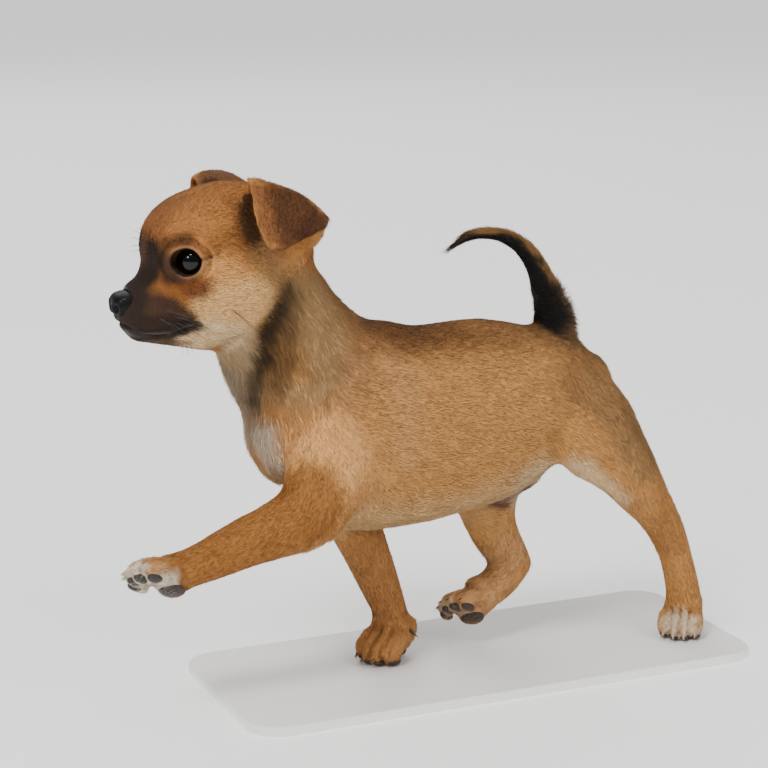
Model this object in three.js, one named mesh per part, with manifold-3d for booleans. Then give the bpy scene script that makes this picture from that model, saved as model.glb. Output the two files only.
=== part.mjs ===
// A life-size model of a smooth-coated toy puppy in mid-stride. It stands on its right
// forepaw and left hind paw, with the left foreleg stretched out and the right hind leg
// swinging forward, and a thin flat base under the paws keeps it from tipping.
// Millimetres, +Z up. The puppy faces -X, its left side is -Y and its soles are at z = 0
// until the whole is lifted onto the base.

import * as THREE from 'three';
import { mergeVertices } from 'three/addons/utils/BufferGeometryUtils.js';
import Module from 'manifold-3d';

const wasm = await Module();
wasm.setup();

const GAP = 0.3;
const BLOCK = 400;
const BASE = { length: 236, width: 96, thickness: 4, corner: 14, middle: [42, 0] };

// Rows along a limb or mass: x, y, z of its middle, half its depth, half its width.
const TRUNK = [
  [-48.5, 0, 110.5, 24, 18],
  [-35, 0, 112, 37.5, 24],
  [-20, 0, 110.3, 44.6, 27],
  [-5, 0, 107.8, 45.6, 28],
  [12, 0, 106.2, 43.6, 28],
  [30, 0, 107.7, 42.4, 27.5],
  [50, 0, 109.8, 41, 26.5],
  [70, 0, 113.4, 34, 24],
  [85, 0, 116, 25, 21.5],
  [95.5, 0, 115, 17, 16.5],
];
const NECK = [
  [-61, 0, 180, 22, 19],
  [-54.4, 0, 166.4, 26.4, 20.5],
  [-47.6, 0, 153.2, 28.2, 21.5],
  [-39.6, 0, 140.2, 31.2, 23.4],
  [-29, 0, 127.5, 32.6, 24],
  [-20, 0, 116, 29, 20],
];
const TAIL = [
  [83, 0, 139, 8.6, 7],
  [80.6, 0, 146.5, 9.2, 7],
  [76.8, 0, 156.9, 7.6, 6.4],
  [72.9, 0, 167.6, 5.6, 5.6],
  [66.5, 0, 177.4, 4.7, 4.7],
  [57.8, 0, 183.6, 4, 4],
  [47.9, 0, 186.2, 3.2, 3.2],
  [38.9, 0, 185.5, 2.9, 2.9],
  [30.4, 0, 180.9, 1.8, 1.8],
];
const FORE_LEFT = [
  [-17, -16, 128, 12, 8],
  [-25, -19, 113, 18, 10],
  [-35, -22, 95, 19.5, 11.5],
  [-43, -24, 81.4, 16.6, 12],
  [-57, -23.5, 75.2, 13, 11],
  [-69.5, -22.5, 71.4, 11.3, 10],
  [-80.3, -22, 67.6, 10.2, 9.3],
  [-89.4, -21.5, 64.4, 9, 8.8],
  [-98, -21, 62, 8.4, 8.8],
];
const FORE_RIGHT = [
  [-14, 16, 126, 12, 8],
  [-19, 19, 106, 18, 10.5],
  [-16, 19.5, 86, 17, 12],
  [-8.4, 18, 66, 13.6, 11.5],
  [-3, 16, 51.3, 11.2, 10.5],
  [1.6, 15, 39.7, 10.2, 9.5],
  [5.2, 14, 29.7, 9.2, 8.8],
  [8.4, 12.8, 20.5, 8.2, 8.6],
  [8.6, 11.5, 11, 8.6, 9.4],
];
const HIND_LEFT = [
  [79, -13.5, 120, 13, 8],
  [84.5, -15, 109.5, 21.5, 12.5],
  [93, -18.5, 96.6, 20.6, 13.5],
  [104.2, -20, 84, 15.6, 12],
  [113.6, -20, 71.4, 12.4, 10.5],
  [121.4, -19, 61.6, 10.2, 8.6],
  [127.8, -18, 52.6, 9, 7.8],
  [133.2, -17, 42, 8.2, 7.4],
  [137.2, -16, 31, 8, 7.6],
  [140.4, -15, 20, 8.4, 8.2],
  [141.4, -14.5, 10, 8.6, 8.6],
];
const HIND_RIGHT = [
  [80, 13.5, 119, 13, 8],
  [73, 15, 107, 22, 12.5],
  [63, 16.5, 87, 21.5, 13.5],
  [56.8, 16.5, 68, 16.6, 12.5],
  [58.2, 16, 55.5, 12.8, 11],
  [62.2, 15.5, 46, 11, 9.6],
  [67.4, 14.8, 38, 9.6, 8.4],
  [71.6, 14.4, 33, 7.8, 7.6],
];
const HIND_RIGHT_SHANK = [
  [71.6, 14.4, 34, 7.6, 7.6],
  [65.6, 13.4, 29, 8.8, 7.8],
  [58.4, 12.2, 24.6, 8.8, 8.2],
  [50.5, 11.2, 21.6, 8.6, 8.6],
];
const SHEATH = [
  [70, 0, 79, 6.5, 6],
  [62.5, 0, 72.6, 4.8, 4.6],
  [58.4, 0, 67.6, 3.2, 3.2],
];

// Paws: toe direction, direction of the back of the paw, place of the sole and scale.
const PAWS = {
  front_left: { at: [-106.5, -23.5, 54.6], toes: [-1, -0.1, 0.5], back: [0.35, 0.52, 0.76],
                scale: 1.1, dewclaw: -1 },
  front_right: { at: [6, 9.6, 0], toes: [-0.84, -0.54, 0], back: [0, 0, 1], scale: 1.14,
                 dewclaw: 1 },
  hind_left: { at: [140, -15.2, 0], toes: [-0.6, -0.8, 0], back: [0, 0, 1], scale: 1.02,
               dewclaw: 0 },
  hind_right: { at: [43.5, 8.4, 12.6], toes: [-1, -0.1, 0.62], back: [0.45, 0.6, 0.66],
                scale: 1.04, dewclaw: 0 },
};
const TOE_SPREAD = 4.2;
const TOE_REACH = 10;
const TOE_RADIUS = 3.6;
const CLAW_LENGTH = 3;

// Head: blended balls and cones, each a middle, radii and whether it is mirrored.
const HEAD_BLEND = 7;
const HEAD_BONE = [[-54, 0, 188], [-104, 0, 166]];
const HEAD_BALLS = [
  { at: [-68.5, 0, 184.8], radii: [33.6, 28.3, 30.2] },
  { at: [-85.6, 0, 191.4], radii: [18.4, 20.8, 17.4] },
  { at: [-52, 0, 186], radii: [17, 22, 19] },
  { at: [-88, 12.5, 191.5], radii: [9.5, 8.5, 7.5], pair: true },
  { at: [-75, 16.5, 170], radii: [17, 10, 15], pair: true },
  { at: [-102, 5.3, 163.6], radii: [12.2, 5.8, 5.8], pair: true },
  { at: [-92, 0, 169], radii: [19, 13, 11.5] },
];
const HEAD_CONES = [
  { from: [-92, 0, 172.8], to: [-110, 0, 167], radii: [12, 6.2] },
  { from: [-80, 0, 159.4], to: [-106.4, 0, 157.4], radii: [13, 5.2] },
];
const ORBIT_OUT = 15;
const ORBIT_RADIUS = 5.4;
const ORBIT_BLEND = 6;
const EYE_RADIUS = 8.6;
const EYE_CENTRE = [-85.6, 10.7, 185.8];
const EYE_AXIS = [-0.67, 0.74, 0.06];
const EYE_TILT = 0.2;
const LID_THICKNESS = 1.3;
const OPENING_WIDTH = 13;
const OPENING_HEIGHT = 11.2;
const NOSE_CENTRE = [-112, 0, 168.6];
const NOSE_RADII = [6.2, 6.8, 5.5];
const NOSTRIL_OFFSET = 3.1;
const NOSTRIL_SLIT_AHEAD = 2.4;
const NOSTRIL_SLIT_OUT = 1.9;
const NOSTRIL_SLIT_HEIGHT = 170;
const NOSTRIL_SLIT_RADII = [2.2, 1.2, 0.8];
const MOUTH_LINE_HEIGHT = 160;
const MOUTH_LINE_DIP = 2;
const MOUTH_DIP_MIDDLE = -98.5;
const MOUTH_DIP_HALF = 12.5;
const MOUTH_DIP_REST = 0.5;
const MOUTH_DIP_FRONT = -112;
const MOUTH_SHEET_FRONT = -130;
const MOUTH_SHEET_SIDE = 30;
const MOUTH_CORE_REAR_HALF = 14.5;
const MOUTH_CORE_MIDDLE = [-97, 11.4];
const MOUTH_CORE_FRONT_HALF = 9.5;
const MOUTH_CORE_CLEARANCE = 0.5;
const MOUTH_LINE_WIDTH = 0.8;
const MOUTH_CORNER_X = -86;
const MOUTH_DEPTH = 1.7;

// Ear: middle line from root to tip, then half width in front and behind, the outward
// flare of the rear edge, cup depth and droop along it.
const EAR_LINE = [
  [-57, 17.5, 199],
  [-55.5, 24, 206.5],
  [-54, 28.4, 213.4],
  [-54.2, 33.2, 212.2],
  [-56.6, 35.6, 202],
  [-59.6, 34.4, 191.4],
];
const EAR_HALF_WIDTH = [17.5, 18.2, 18.4, 17.6, 13.2, 5];
const EAR_REAR_WIDTH = [17.5, 18.6, 16.6, 14.6, 13.6, 5];
const EAR_REAR_FLARE = [0, 0, 6, 16, 20, 4];
const EAR_FLARE_START = 0.5;
const EAR_CUP_REST = 0.4;
const EAR_CUP = [6, 8, 2, -1, -1.5, 0];
const EAR_DROOP = [0, 2, 4.6, 3.8, 0, -2];
const EAR_SLOPE = [-0.86, -0.68, -0.42, -0.36, -0.16, 0];
const NEAR_EAR_DROOP = [0.2, 1.2];
const FAR_EAR_DROOP = [1.5, 1.1];
const FAR_EAR_SHIFT = [-3, 0, -0.8];
const EAR_THICKNESS = 1.9;

const FAWN = '#b9834f';
const SABLE = '#6f4c33';
const CREAM = '#d9bd97';
const BLACK = '#1c1716';

const vector = (p) => new THREE.Vector3(p[0], p[1], p[2]);
const mirrored = (p) => [p[0], -p[1], p[2]];

// Turns a closed three.js geometry into a solid that can be joined and cut.
function solid(geometry) {
  const bare = new THREE.BufferGeometry();
  bare.setAttribute('position', geometry.getAttribute('position'));
  bare.setIndex(geometry.index);
  const closed = mergeVertices(bare, 1e-4);
  const corners = closed.index.array;
  const faces = [];
  for (let i = 0; i < corners.length; i += 3) {
    const [a, b, c] = [corners[i], corners[i + 1], corners[i + 2]];
    if (a !== b && b !== c && c !== a) {
      faces.push(a, b, c);
    }
  }
  return new wasm.Manifold(new wasm.Mesh({
    numProp: 3,
    vertProperties: Float32Array.from(closed.getAttribute('position').array),
    triVerts: Uint32Array.from(faces),
  }));
}

const joined = (solids) => solids.reduce((all, one) => all.add(one));

const largest = (body) => body.decompose().sort((a, b) => b.volume() - a.volume())[0];

// A column of numbers from a table, read smoothly at t from 0 to 1.
function along(values, t) {
  const place = Math.min(t, 0.99999) * (values.length - 1);
  const i = Math.floor(place);
  const f = place - i;
  const at = (k) => values[Math.max(0, Math.min(values.length - 1, k))];
  const [a, b, c, d] = [at(i - 1), at(i), at(i + 1), at(i + 2)];
  return b + 0.5 * f * (c - a + f * (2 * a - 5 * b + 4 * c - d + f * (3 * (b - c) + d - a)));
}

// A limb: a capsule laid along the rows, with oval rings square to its middle line.
function limb(rows, sides, rings, ends = [1, 1], grow = 0) {
  const caps = Math.max(1, Math.round(sides / 6));
  const capsule = new THREE.CapsuleGeometry(1, 2, caps, sides, rings);
  const line = new THREE.CatmullRomCurve3(rows.map(vector));
  const depths = rows.map((row) => row[3]);
  const widths = rows.map((row) => row[4]);
  const points = capsule.getAttribute('position');
  for (let i = 0; i < points.count; i += 1) {
    const p = new THREE.Vector3().fromBufferAttribute(points, i);
    const t = THREE.MathUtils.clamp(0.5 - p.y / 2, 0, 1);
    const over = Math.max(0, Math.abs(p.y) - 1);
    const forward = line.getTangent(t);
    const side = new THREE.Vector3(0, 1, 0).addScaledVector(forward, -forward.y).normalize();
    const up = forward.clone().cross(side);
    const depth = along(depths, t) + grow;
    const width = along(widths, t) + grow;
    const end = p.y > 0 ? -ends[0] : ends[1];
    p.copy(line.getPoint(t).clone()
      .addScaledVector(forward, over * (end * (depth + width - 2 * grow) / 2 + Math.sign(end) * grow))
      .addScaledVector(up, p.x * depth)
      .addScaledVector(side, -p.z * width));
    points.setXYZ(i, p.x, p.y, p.z);
  }
  return solid(capsule);
}

function ball(centre, radii, columns = 14, rows = 9) {
  const sphere = new THREE.SphereGeometry(1, columns, rows);
  sphere.scale(radii[0], radii[1], radii[2]);
  sphere.translate(centre[0], centre[1], centre[2]);
  return solid(sphere);
}

function box(size, centre) {
  const cube = new THREE.BoxGeometry(size[0], size[1], size[2]);
  cube.translate(centre[0], centre[1], centre[2]);
  return solid(cube);
}

// Parts a body square to a direction, leaving the thin gap between the two pieces.
function parted(body, place, direction) {
  const way = vector(direction).normalize();
  const turn = new THREE.Quaternion().setFromUnitVectors(new THREE.Vector3(0, 0, 1), way);
  const half = (sign) => {
    const block = new THREE.BoxGeometry(BLOCK, BLOCK, BLOCK);
    block.applyQuaternion(turn);
    const centre = vector(place).addScaledVector(way, sign * (BLOCK - GAP) / 2);
    block.translate(centre.x, centre.y, centre.z);
    return solid(block);
  };
  return [largest(body.subtract(half(1))), largest(body.subtract(half(-1)))];
}

// How far a point is outside the blended head form, below zero inside it.
function headField(point) {
  const blend = (a, b) => {
    const h = Math.max(HEAD_BLEND - Math.abs(a - b), 0) / HEAD_BLEND;
    return Math.min(a, b) - h * h * HEAD_BLEND / 4;
  };
  const mirror = new THREE.Vector3(point.x, Math.abs(point.y), point.z);
  let distance = Infinity;
  for (const { at, radii, pair } of HEAD_BALLS) {
    const q = (pair ? mirror : point).clone().sub(vector(at));
    const near = q.clone().divide(vector(radii));
    const slope = near.clone().divide(vector(radii)).length();
    distance = blend(distance, near.length() * (near.length() - 1) / slope);
  }
  for (const { from, to, radii } of HEAD_CONES) {
    const axis = new THREE.Line3(vector(from), vector(to));
    const t = axis.closestPointToPointParameter(point, true);
    const reach = axis.at(t, new THREE.Vector3()).distanceTo(point);
    distance = blend(distance, reach - THREE.MathUtils.lerp(radii[0], radii[1], t));
  }
  const orbit = vector(EYE_CENTRE).addScaledVector(vector(EYE_AXIS).normalize(), ORBIT_OUT);
  const hollow = ORBIT_RADIUS - orbit.distanceTo(mirror);
  const h = Math.max(ORBIT_BLEND - Math.abs(distance - hollow), 0) / ORBIT_BLEND;
  return Math.max(distance, hollow) + h * h * ORBIT_BLEND / 4;
}

// The head: a capsule round its inner line, each point pushed out to the blended form.
function headForm(sides, rings, caps) {
  const capsule = new THREE.CapsuleGeometry(1, 2, caps, sides, rings);
  const [back, front] = HEAD_BONE.map(vector);
  const forward = front.clone().sub(back).normalize();
  const side = new THREE.Vector3(0, 1, 0);
  const up = forward.clone().cross(side);
  const points = capsule.getAttribute('position');
  for (let i = 0; i < points.count; i += 1) {
    const p = new THREE.Vector3().fromBufferAttribute(points, i);
    const t = THREE.MathUtils.clamp(0.5 - p.y / 2, 0, 1);
    const over = -Math.sign(p.y) * Math.max(0, Math.abs(p.y) - 1);
    const start = back.clone().lerp(front, t);
    const way = new THREE.Vector3().addScaledVector(forward, over)
      .addScaledVector(up, p.x).addScaledVector(side, -p.z).normalize();
    let near = 0;
    let far = 1;
    while (headField(start.clone().addScaledVector(way, far)) < 0) {
      near = far;
      far += 1;
    }
    for (let step = 0; step < 12; step += 1) {
      const middle = (near + far) / 2;
      if (headField(start.clone().addScaledVector(way, middle)) < 0) {
        near = middle;
      } else {
        far = middle;
      }
    }
    p.copy(start).addScaledVector(way, near);
    points.setXYZ(i, p.x, p.y, p.z);
  }
  return solid(capsule);
}

// An ear: a box bent into a thin leaf that stands up, folds over and hangs to its tip.
function ear(side, grow = 0) {
  const leaf = new THREE.BoxGeometry(2, 1, 2, 8, 12, 1);
  const points = leaf.getAttribute('position');
  const row = (axis) => EAR_LINE.map((p) => p[axis]);
  const droop = side < 0 ? NEAR_EAR_DROOP : FAR_EAR_DROOP;
  const middle = (u) => new THREE.Vector3(along(row(0), u), along(row(1), u), along(row(2), u));
  const surface = (u, v) => {
    const across = new THREE.Vector3(1, 0.1, along(EAR_SLOPE, u)).normalize();
    const half = along(v < 0 ? EAR_HALF_WIDTH : EAR_REAR_WIDTH, u) + grow;
    const place = middle(u).addScaledVector(across, v * half);
    place.y += along(EAR_CUP, u) * (v * v - EAR_CUP_REST);
    place.y += along(EAR_REAR_FLARE, u) * Math.max(0, v - EAR_FLARE_START) ** 2;
    place.z -= along(EAR_DROOP, u) * v * v * (v < 0 ? droop[0] : droop[1]);
    return place;
  };
  for (let i = 0; i < points.count; i += 1) {
    const v = points.getX(i);
    const u = points.getY(i) + 0.5;
    const at = surface(u, v);
    const du = surface(Math.min(u + 0.01, 1), v).sub(surface(Math.max(u - 0.01, 0), v));
    const dv = surface(u, v + 0.02).sub(surface(u, v - 0.02));
    const normal = dv.cross(du).normalize();
    const thin = 1 - 0.45 * Math.abs(v) ** 3;
    at.addScaledVector(normal, points.getZ(i) * (EAR_THICKNESS * thin / 2 + grow));
    if (u > 0.999) {
      at.z -= grow;
    }
    points.setXYZ(i, at.x, at.y, at.z);
  }
  if (side < 0) {
    leaf.scale(1, -1, 1);
    flip(leaf);
  } else {
    leaf.translate(FAR_EAR_SHIFT[0], FAR_EAR_SHIFT[1], FAR_EAR_SHIFT[2]);
  }
  return solid(leaf);
}

function flip(geometry) {
  const corners = geometry.index;
  for (let i = 0; i < corners.count; i += 3) {
    const first = corners.getX(i);
    corners.setX(i, corners.getX(i + 1));
    corners.setX(i + 1, first);
  }
}

// The slanted almond between the lids, cut square to the line of sight.
function lidOpening(side) {
  const outline = new THREE.Shape();
  const half = OPENING_WIDTH / 2;
  const rise = OPENING_HEIGHT * 0.62;
  outline.moveTo(-half, 0);
  outline.bezierCurveTo(-half * 0.62, rise, half * 0.55, rise, half, 0);
  outline.bezierCurveTo(half * 0.6, -rise * 0.98, -half * 0.5, -rise * 0.98, -half, 0);
  const prism = new THREE.ExtrudeGeometry(outline, { depth: 14, bevelEnabled: false, curveSegments: 8 });
  const axis = new THREE.Vector3(EYE_AXIS[0], side * EYE_AXIS[1], EYE_AXIS[2]).normalize();
  const right = new THREE.Vector3(0, 0, 1).cross(axis).normalize();
  const up = axis.clone().cross(right);
  prism.rotateZ(-side * EYE_TILT);
  prism.applyMatrix4(new THREE.Matrix4().makeBasis(right, up, axis));
  const centre = new THREE.Vector3(EYE_CENTRE[0], side * EYE_CENTRE[1], EYE_CENTRE[2]);
  centre.addScaledVector(axis, 2);
  prism.translate(centre.x, centre.y, centre.z);
  prism.setIndex([...Array(prism.getAttribute('position').count).keys()]);
  return solid(prism);
}

// A thin flat cut round the muzzle, open at its middle, that leaves the line of the lips.
function mouthLine() {
  const sheet = new THREE.Shape();
  sheet.moveTo(MOUTH_SHEET_FRONT, -MOUTH_SHEET_SIDE);
  sheet.lineTo(MOUTH_CORNER_X, -MOUTH_SHEET_SIDE);
  sheet.lineTo(MOUTH_CORNER_X, MOUTH_SHEET_SIDE);
  sheet.lineTo(MOUTH_SHEET_FRONT, MOUTH_SHEET_SIDE);
  const core = new THREE.Path();
  const reach = NOSE_CENTRE[0] + MOUTH_DEPTH;
  const coreRear = MOUTH_CORNER_X - MOUTH_CORE_CLEARANCE;
  const [middleX, middleY] = MOUTH_CORE_MIDDLE;
  core.moveTo(coreRear, -MOUTH_CORE_REAR_HALF + MOUTH_DEPTH);
  core.bezierCurveTo(middleX, -middleY, reach, -MOUTH_CORE_FRONT_HALF, reach, 0);
  core.bezierCurveTo(
    reach, MOUTH_CORE_FRONT_HALF, middleX, middleY, coreRear, MOUTH_CORE_REAR_HALF - MOUTH_DEPTH,
  );
  sheet.holes.push(core);
  const plate = new THREE.ExtrudeGeometry(sheet, {
    depth: MOUTH_LINE_WIDTH, bevelEnabled: false, curveSegments: 10,
  });
  plate.translate(0, 0, MOUTH_LINE_HEIGHT - MOUTH_LINE_WIDTH / 2);
  const points = plate.getAttribute('position');
  for (let i = 0; i < points.count; i += 1) {
    const x = THREE.MathUtils.clamp(points.getX(i), MOUTH_DIP_FRONT, MOUTH_CORNER_X);
    const away = (x - MOUTH_DIP_MIDDLE) / MOUTH_DIP_HALF;
    points.setZ(i, points.getZ(i) + MOUTH_LINE_DIP * (away ** 2 - MOUTH_DIP_REST));
  }
  plate.setIndex([...Array(plate.getAttribute('position').count).keys()]);
  return solid(plate);
}

// The paw's knuckles, four toes, pads, claws and dewclaw, set out by its own directions.
function pawPieces({ at, toes, back, scale, dewclaw }) {
  const forward = vector(toes).normalize();
  const left = vector(back).cross(forward).normalize();
  const up = forward.clone().cross(left);
  const place = (x, y, z) => vector(at).addScaledVector(forward, x * scale)
    .addScaledVector(left, y * scale).addScaledVector(up, z * scale);
  const frame = new THREE.Matrix4().makeBasis(forward, left, up);
  const lump = (x, y, z, radii, columns, rows) => {
    const sphere = new THREE.SphereGeometry(1, columns, rows);
    sphere.rotateX(Math.PI / 2);
    sphere.scale(radii[0] * scale, radii[1] * scale, radii[2] * scale);
    sphere.applyMatrix4(frame);
    const centre = place(x, y, z);
    sphere.translate(centre.x, centre.y, centre.z);
    return solid(sphere);
  };
  const rod = (path, sides, rings, ends) => limb(path.map(([x, y, z, r]) => {
    const p = place(x, y, z);
    return [p.x, p.y, p.z, r * scale, r * scale];
  }), sides, rings, ends);
  const pieces = [
    lump(-2, 0, 8, [8.6, 9, 7.2], 10, 5),
    lump(-3.2, 0, 2.4, [4.6, 5.8, 2.6], 10, 5),
  ];
  for (const lane of [-1.5, -0.5, 0.5, 1.5]) {
    const outer = Math.abs(lane) > 1;
    const y = lane * TOE_SPREAD;
    const reach = TOE_REACH - (outer ? 3 : 0);
    pieces.push(rod([
      [-4, y * 0.75, 8.6, TOE_RADIUS * 0.9],
      [reach - 5.4, y, 8.4, TOE_RADIUS],
      [reach - 1.2, y * 1.06, 5.6, TOE_RADIUS * 0.98],
      [reach, y * 1.08, 3.6, TOE_RADIUS * 0.82],
    ], 7, 3, [0.8, 0.9]));
    pieces.push(lump(reach - 1.6, y * 1.06, 1.7, [3.1, 2.3, 1.95], 8, 5));
    pieces.push(rod([
      [reach + 1, y * 1.08, 4.6, 1.2],
      [reach + 1.2 + CLAW_LENGTH * 0.6, y * 1.1, 3.8, 1],
      [reach + 0.8 + CLAW_LENGTH, y * 1.1, 2, 0.5],
    ], 4, 2, [1, 1]));
  }
  if (dewclaw !== 0) {
    pieces.push(rod([
      [-8.4, dewclaw * 5.2, 13.4, 2.4],
      [-7.4, dewclaw * 6.8, 9.6, 1.9],
    ], 6, 1, [1, 1]));
    pieces.push(rod([
      [-7.2, dewclaw * 7.4, 9, 1],
      [-6.6, dewclaw * 8.2, 6.6, 0.45],
    ], 4, 1, [1, 1]));
  }
  return pieces;
}

const floorBlock = box([BLOCK, BLOCK, 40], [0, 0, -20]);
const model = new THREE.Group();

function node(name, body, colour, roughness = 0.85) {
  const mesh = largest(body).getMesh();
  const geometry = new THREE.BufferGeometry();
  geometry.setAttribute('position', new THREE.BufferAttribute(new Float32Array(mesh.vertProperties), 3));
  geometry.setIndex(new THREE.BufferAttribute(new Uint32Array(mesh.triVerts), 1));
  geometry.computeVertexNormals();
  const material = new THREE.MeshStandardMaterial({ color: colour, roughness, metalness: 0 });
  const piece = new THREE.Mesh(geometry, material);
  piece.name = name;
  model.add(piece);
}

// Legs are made whole with their paws, then parted at the elbow or hock and the wrist.
const LEG_SIDES = 13;
const LEG_ENDS = [0.7, 0.4];
const legs = {
  front_left: { rows: FORE_LEFT, rings: 16, joint: [-50, -23.5, 79], jointWay: [-0.94, 0, -0.34],
                wrist: [-97, -21, 61.8], wristWay: [-0.94, 0, -0.34] },
  front_right: { rows: FORE_RIGHT, rings: 16, joint: [-7, 17.2, 60], jointWay: [0.28, 0, -0.96],
                 wrist: [5.6, 11.5, 17.4], wristWay: [0.2, 0, -0.98] },
  hind_left: { rows: HIND_LEFT, rings: 18, joint: [110, -20, 75], jointWay: [0.6, 0, -0.8],
               wrist: [138.6, -15.4, 16.4], wristWay: [0.2, 0, -0.98] },
  hind_right: { rows: HIND_RIGHT, shank: HIND_RIGHT_SHANK, rings: 14, joint: [57.4, 16.2, 60],
                jointWay: [0.2, 0, -0.98], wrist: [55, 12, 22.6], wristWay: [-0.92, 0, -0.4] },
};
const sockets = [];
for (const [corner, leg] of Object.entries(legs)) {
  const pieces = [limb(leg.rows, LEG_SIDES, leg.rings, LEG_ENDS), ...pawPieces(PAWS[corner])];
  if (leg.shank) {
    pieces.push(limb(leg.shank, 12, 6, [0.9, 0.4]));
  }
  const whole = joined(pieces).subtract(floorBlock);
  const [shaft, paw] = parted(whole, leg.wrist, leg.wristWay);
  const [upper, lower] = parted(shaft, leg.joint, leg.jointWay);
  const name = corner.startsWith('front') ? 'foreleg' : 'hindleg';
  const side = corner.split('_')[1];
  node(`${name}_${side}_upper`, upper, FAWN);
  node(`${name}_${side}_lower`, lower, FAWN);
  node(`${name}_${side}_paw`, paw, corner.endsWith('right') ? FAWN : CREAM);
  sockets.push(limb(leg.rows, LEG_SIDES, leg.rings, LEG_ENDS, GAP));
}

// Trunk, neck and head are made whole, and parted at the shoulders and behind the jaw.
const SHOULDER_CUT = { place: [-36, 0, 130], way: [-0.72, 0, 0.69] };
const THROAT_CUT = { place: [-54, 0, 171], way: [-0.8, 0, 0.6] };
const trunk = limb(TRUNK, 22, 15, [0.62, 0.75]).add(limb(SHEATH, 8, 3, [0.5, 1]));
const core = trunk.add(limb(NECK, 20, 8, [0.3, 0.3])).add(headForm(28, 14, 6));
const [trunkWhole, upperWhole] = parted(core, SHOULDER_CUT.place, SHOULDER_CUT.way);
const [neck, headWhole] = parted(upperWhole, THROAT_CUT.place, THROAT_CUT.way);
node('torso', trunkWhole.subtract(joined(sockets)).subtract(limb(TAIL, 10, 20, [0.3, 1], GAP)), FAWN);
node('neck', neck.subtract(joined(sockets)), SABLE);

// The tail curls up and over in three lengths.
const tail = limb(TAIL, 10, 20, [0.3, 1]);
const [tailBase, tailRest] = parted(tail, [73.6, 0, 166], [-0.4, 0, 0.92]);
const [tailMiddle, tailTip] = parted(tailRest, [53, 0, 185.2], [-0.97, 0, 0.25]);
node('tail_base', tailBase, SABLE);
node('tail_middle', tailMiddle, SABLE);
node('tail_tip', tailTip, SABLE);

// The head carries the lids, and is cut for the eyes, mouth line, nose, ears and neck.
const eyeAt = (side) => (side > 0 ? EYE_CENTRE : mirrored(EYE_CENTRE));
const eyeRadii = (grow) => [EYE_RADIUS + grow, EYE_RADIUS + grow, EYE_RADIUS + grow];
let head = headWhole;
for (const side of [-1, 1]) {
  head = head.add(ball(eyeAt(side), eyeRadii(LID_THICKNESS), 16, 10));
}
for (const side of [-1, 1]) {
  head = head.subtract(ball(eyeAt(side), eyeRadii(GAP), 16, 10));
  head = head.subtract(lidOpening(side));
  head = head.subtract(ear(side, GAP));
}
const noseForm = (grow) => ball(NOSE_CENTRE, NOSE_RADII.map((r) => r + grow), 12, 8);
head = head.subtract(mouthLine()).subtract(noseForm(GAP));
node('head', head, FAWN);

// The nose leather has a comma-shaped nostril on each side.
let nose = noseForm(0);
for (const side of [-1, 1]) {
  nose = nose.subtract(ball([NOSE_CENTRE[0] - 4, side * NOSTRIL_OFFSET, 170.8], [2.2, 1.1, 1.5], 6, 4));
  const slitAt = [NOSE_CENTRE[0] - NOSTRIL_SLIT_AHEAD, side * (NOSTRIL_OFFSET + NOSTRIL_SLIT_OUT), NOSTRIL_SLIT_HEIGHT];
   nose = nose.subtract(ball(slitAt, NOSTRIL_SLIT_RADII, 6, 4));
}
node('nose', nose, BLACK, 0.4);

for (const [name, side] of [['left', -1], ['right', 1]]) {
  node(`eye_${name}`, ball(eyeAt(side), eyeRadii(0), 16, 10), BLACK, 0.1);
  node(`ear_${name}`, ear(side), SABLE);
}

// The base is a thin slab with rounded corners and a narrow bevel.
const slab = new THREE.Shape();
const [halfLength, halfWidth, corner] = [BASE.length / 2, BASE.width / 2, BASE.corner];
slab.absarc(halfLength - corner, halfWidth - corner, corner, 0, Math.PI / 2);
slab.absarc(corner - halfLength, halfWidth - corner, corner, Math.PI / 2, Math.PI);
slab.absarc(corner - halfLength, corner - halfWidth, corner, Math.PI, Math.PI * 1.5);
slab.absarc(halfLength - corner, corner - halfWidth, corner, Math.PI * 1.5, Math.PI * 2);
const baseForm = new THREE.ExtrudeGeometry(slab, {
  depth: BASE.thickness - 1.2, bevelThickness: 0.6, bevelSize: 0.6, bevelSegments: 1, curveSegments: 6,
});
baseForm.translate(BASE.middle[0], BASE.middle[1], 0.6 - BASE.thickness - GAP);
baseForm.setIndex([...Array(baseForm.getAttribute('position').count).keys()]);
node('stand_base', solid(baseForm), '#e9e6e0', 0.7);

// The frame's origin is under the middle of the whole, at the underside of the base.
const extent = new THREE.Box3().setFromObject(model);
const middleOfAll = extent.getCenter(new THREE.Vector3());
model.position.set(-middleOfAll.x, -middleOfAll.y, -extent.min.z);

export default model;
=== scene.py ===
import math

import bmesh
import bpy
import numpy as np
from mathutils import Matrix, Vector
from mathutils.bvhtree import BVHTree
from mathutils.kdtree import KDTree


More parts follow.
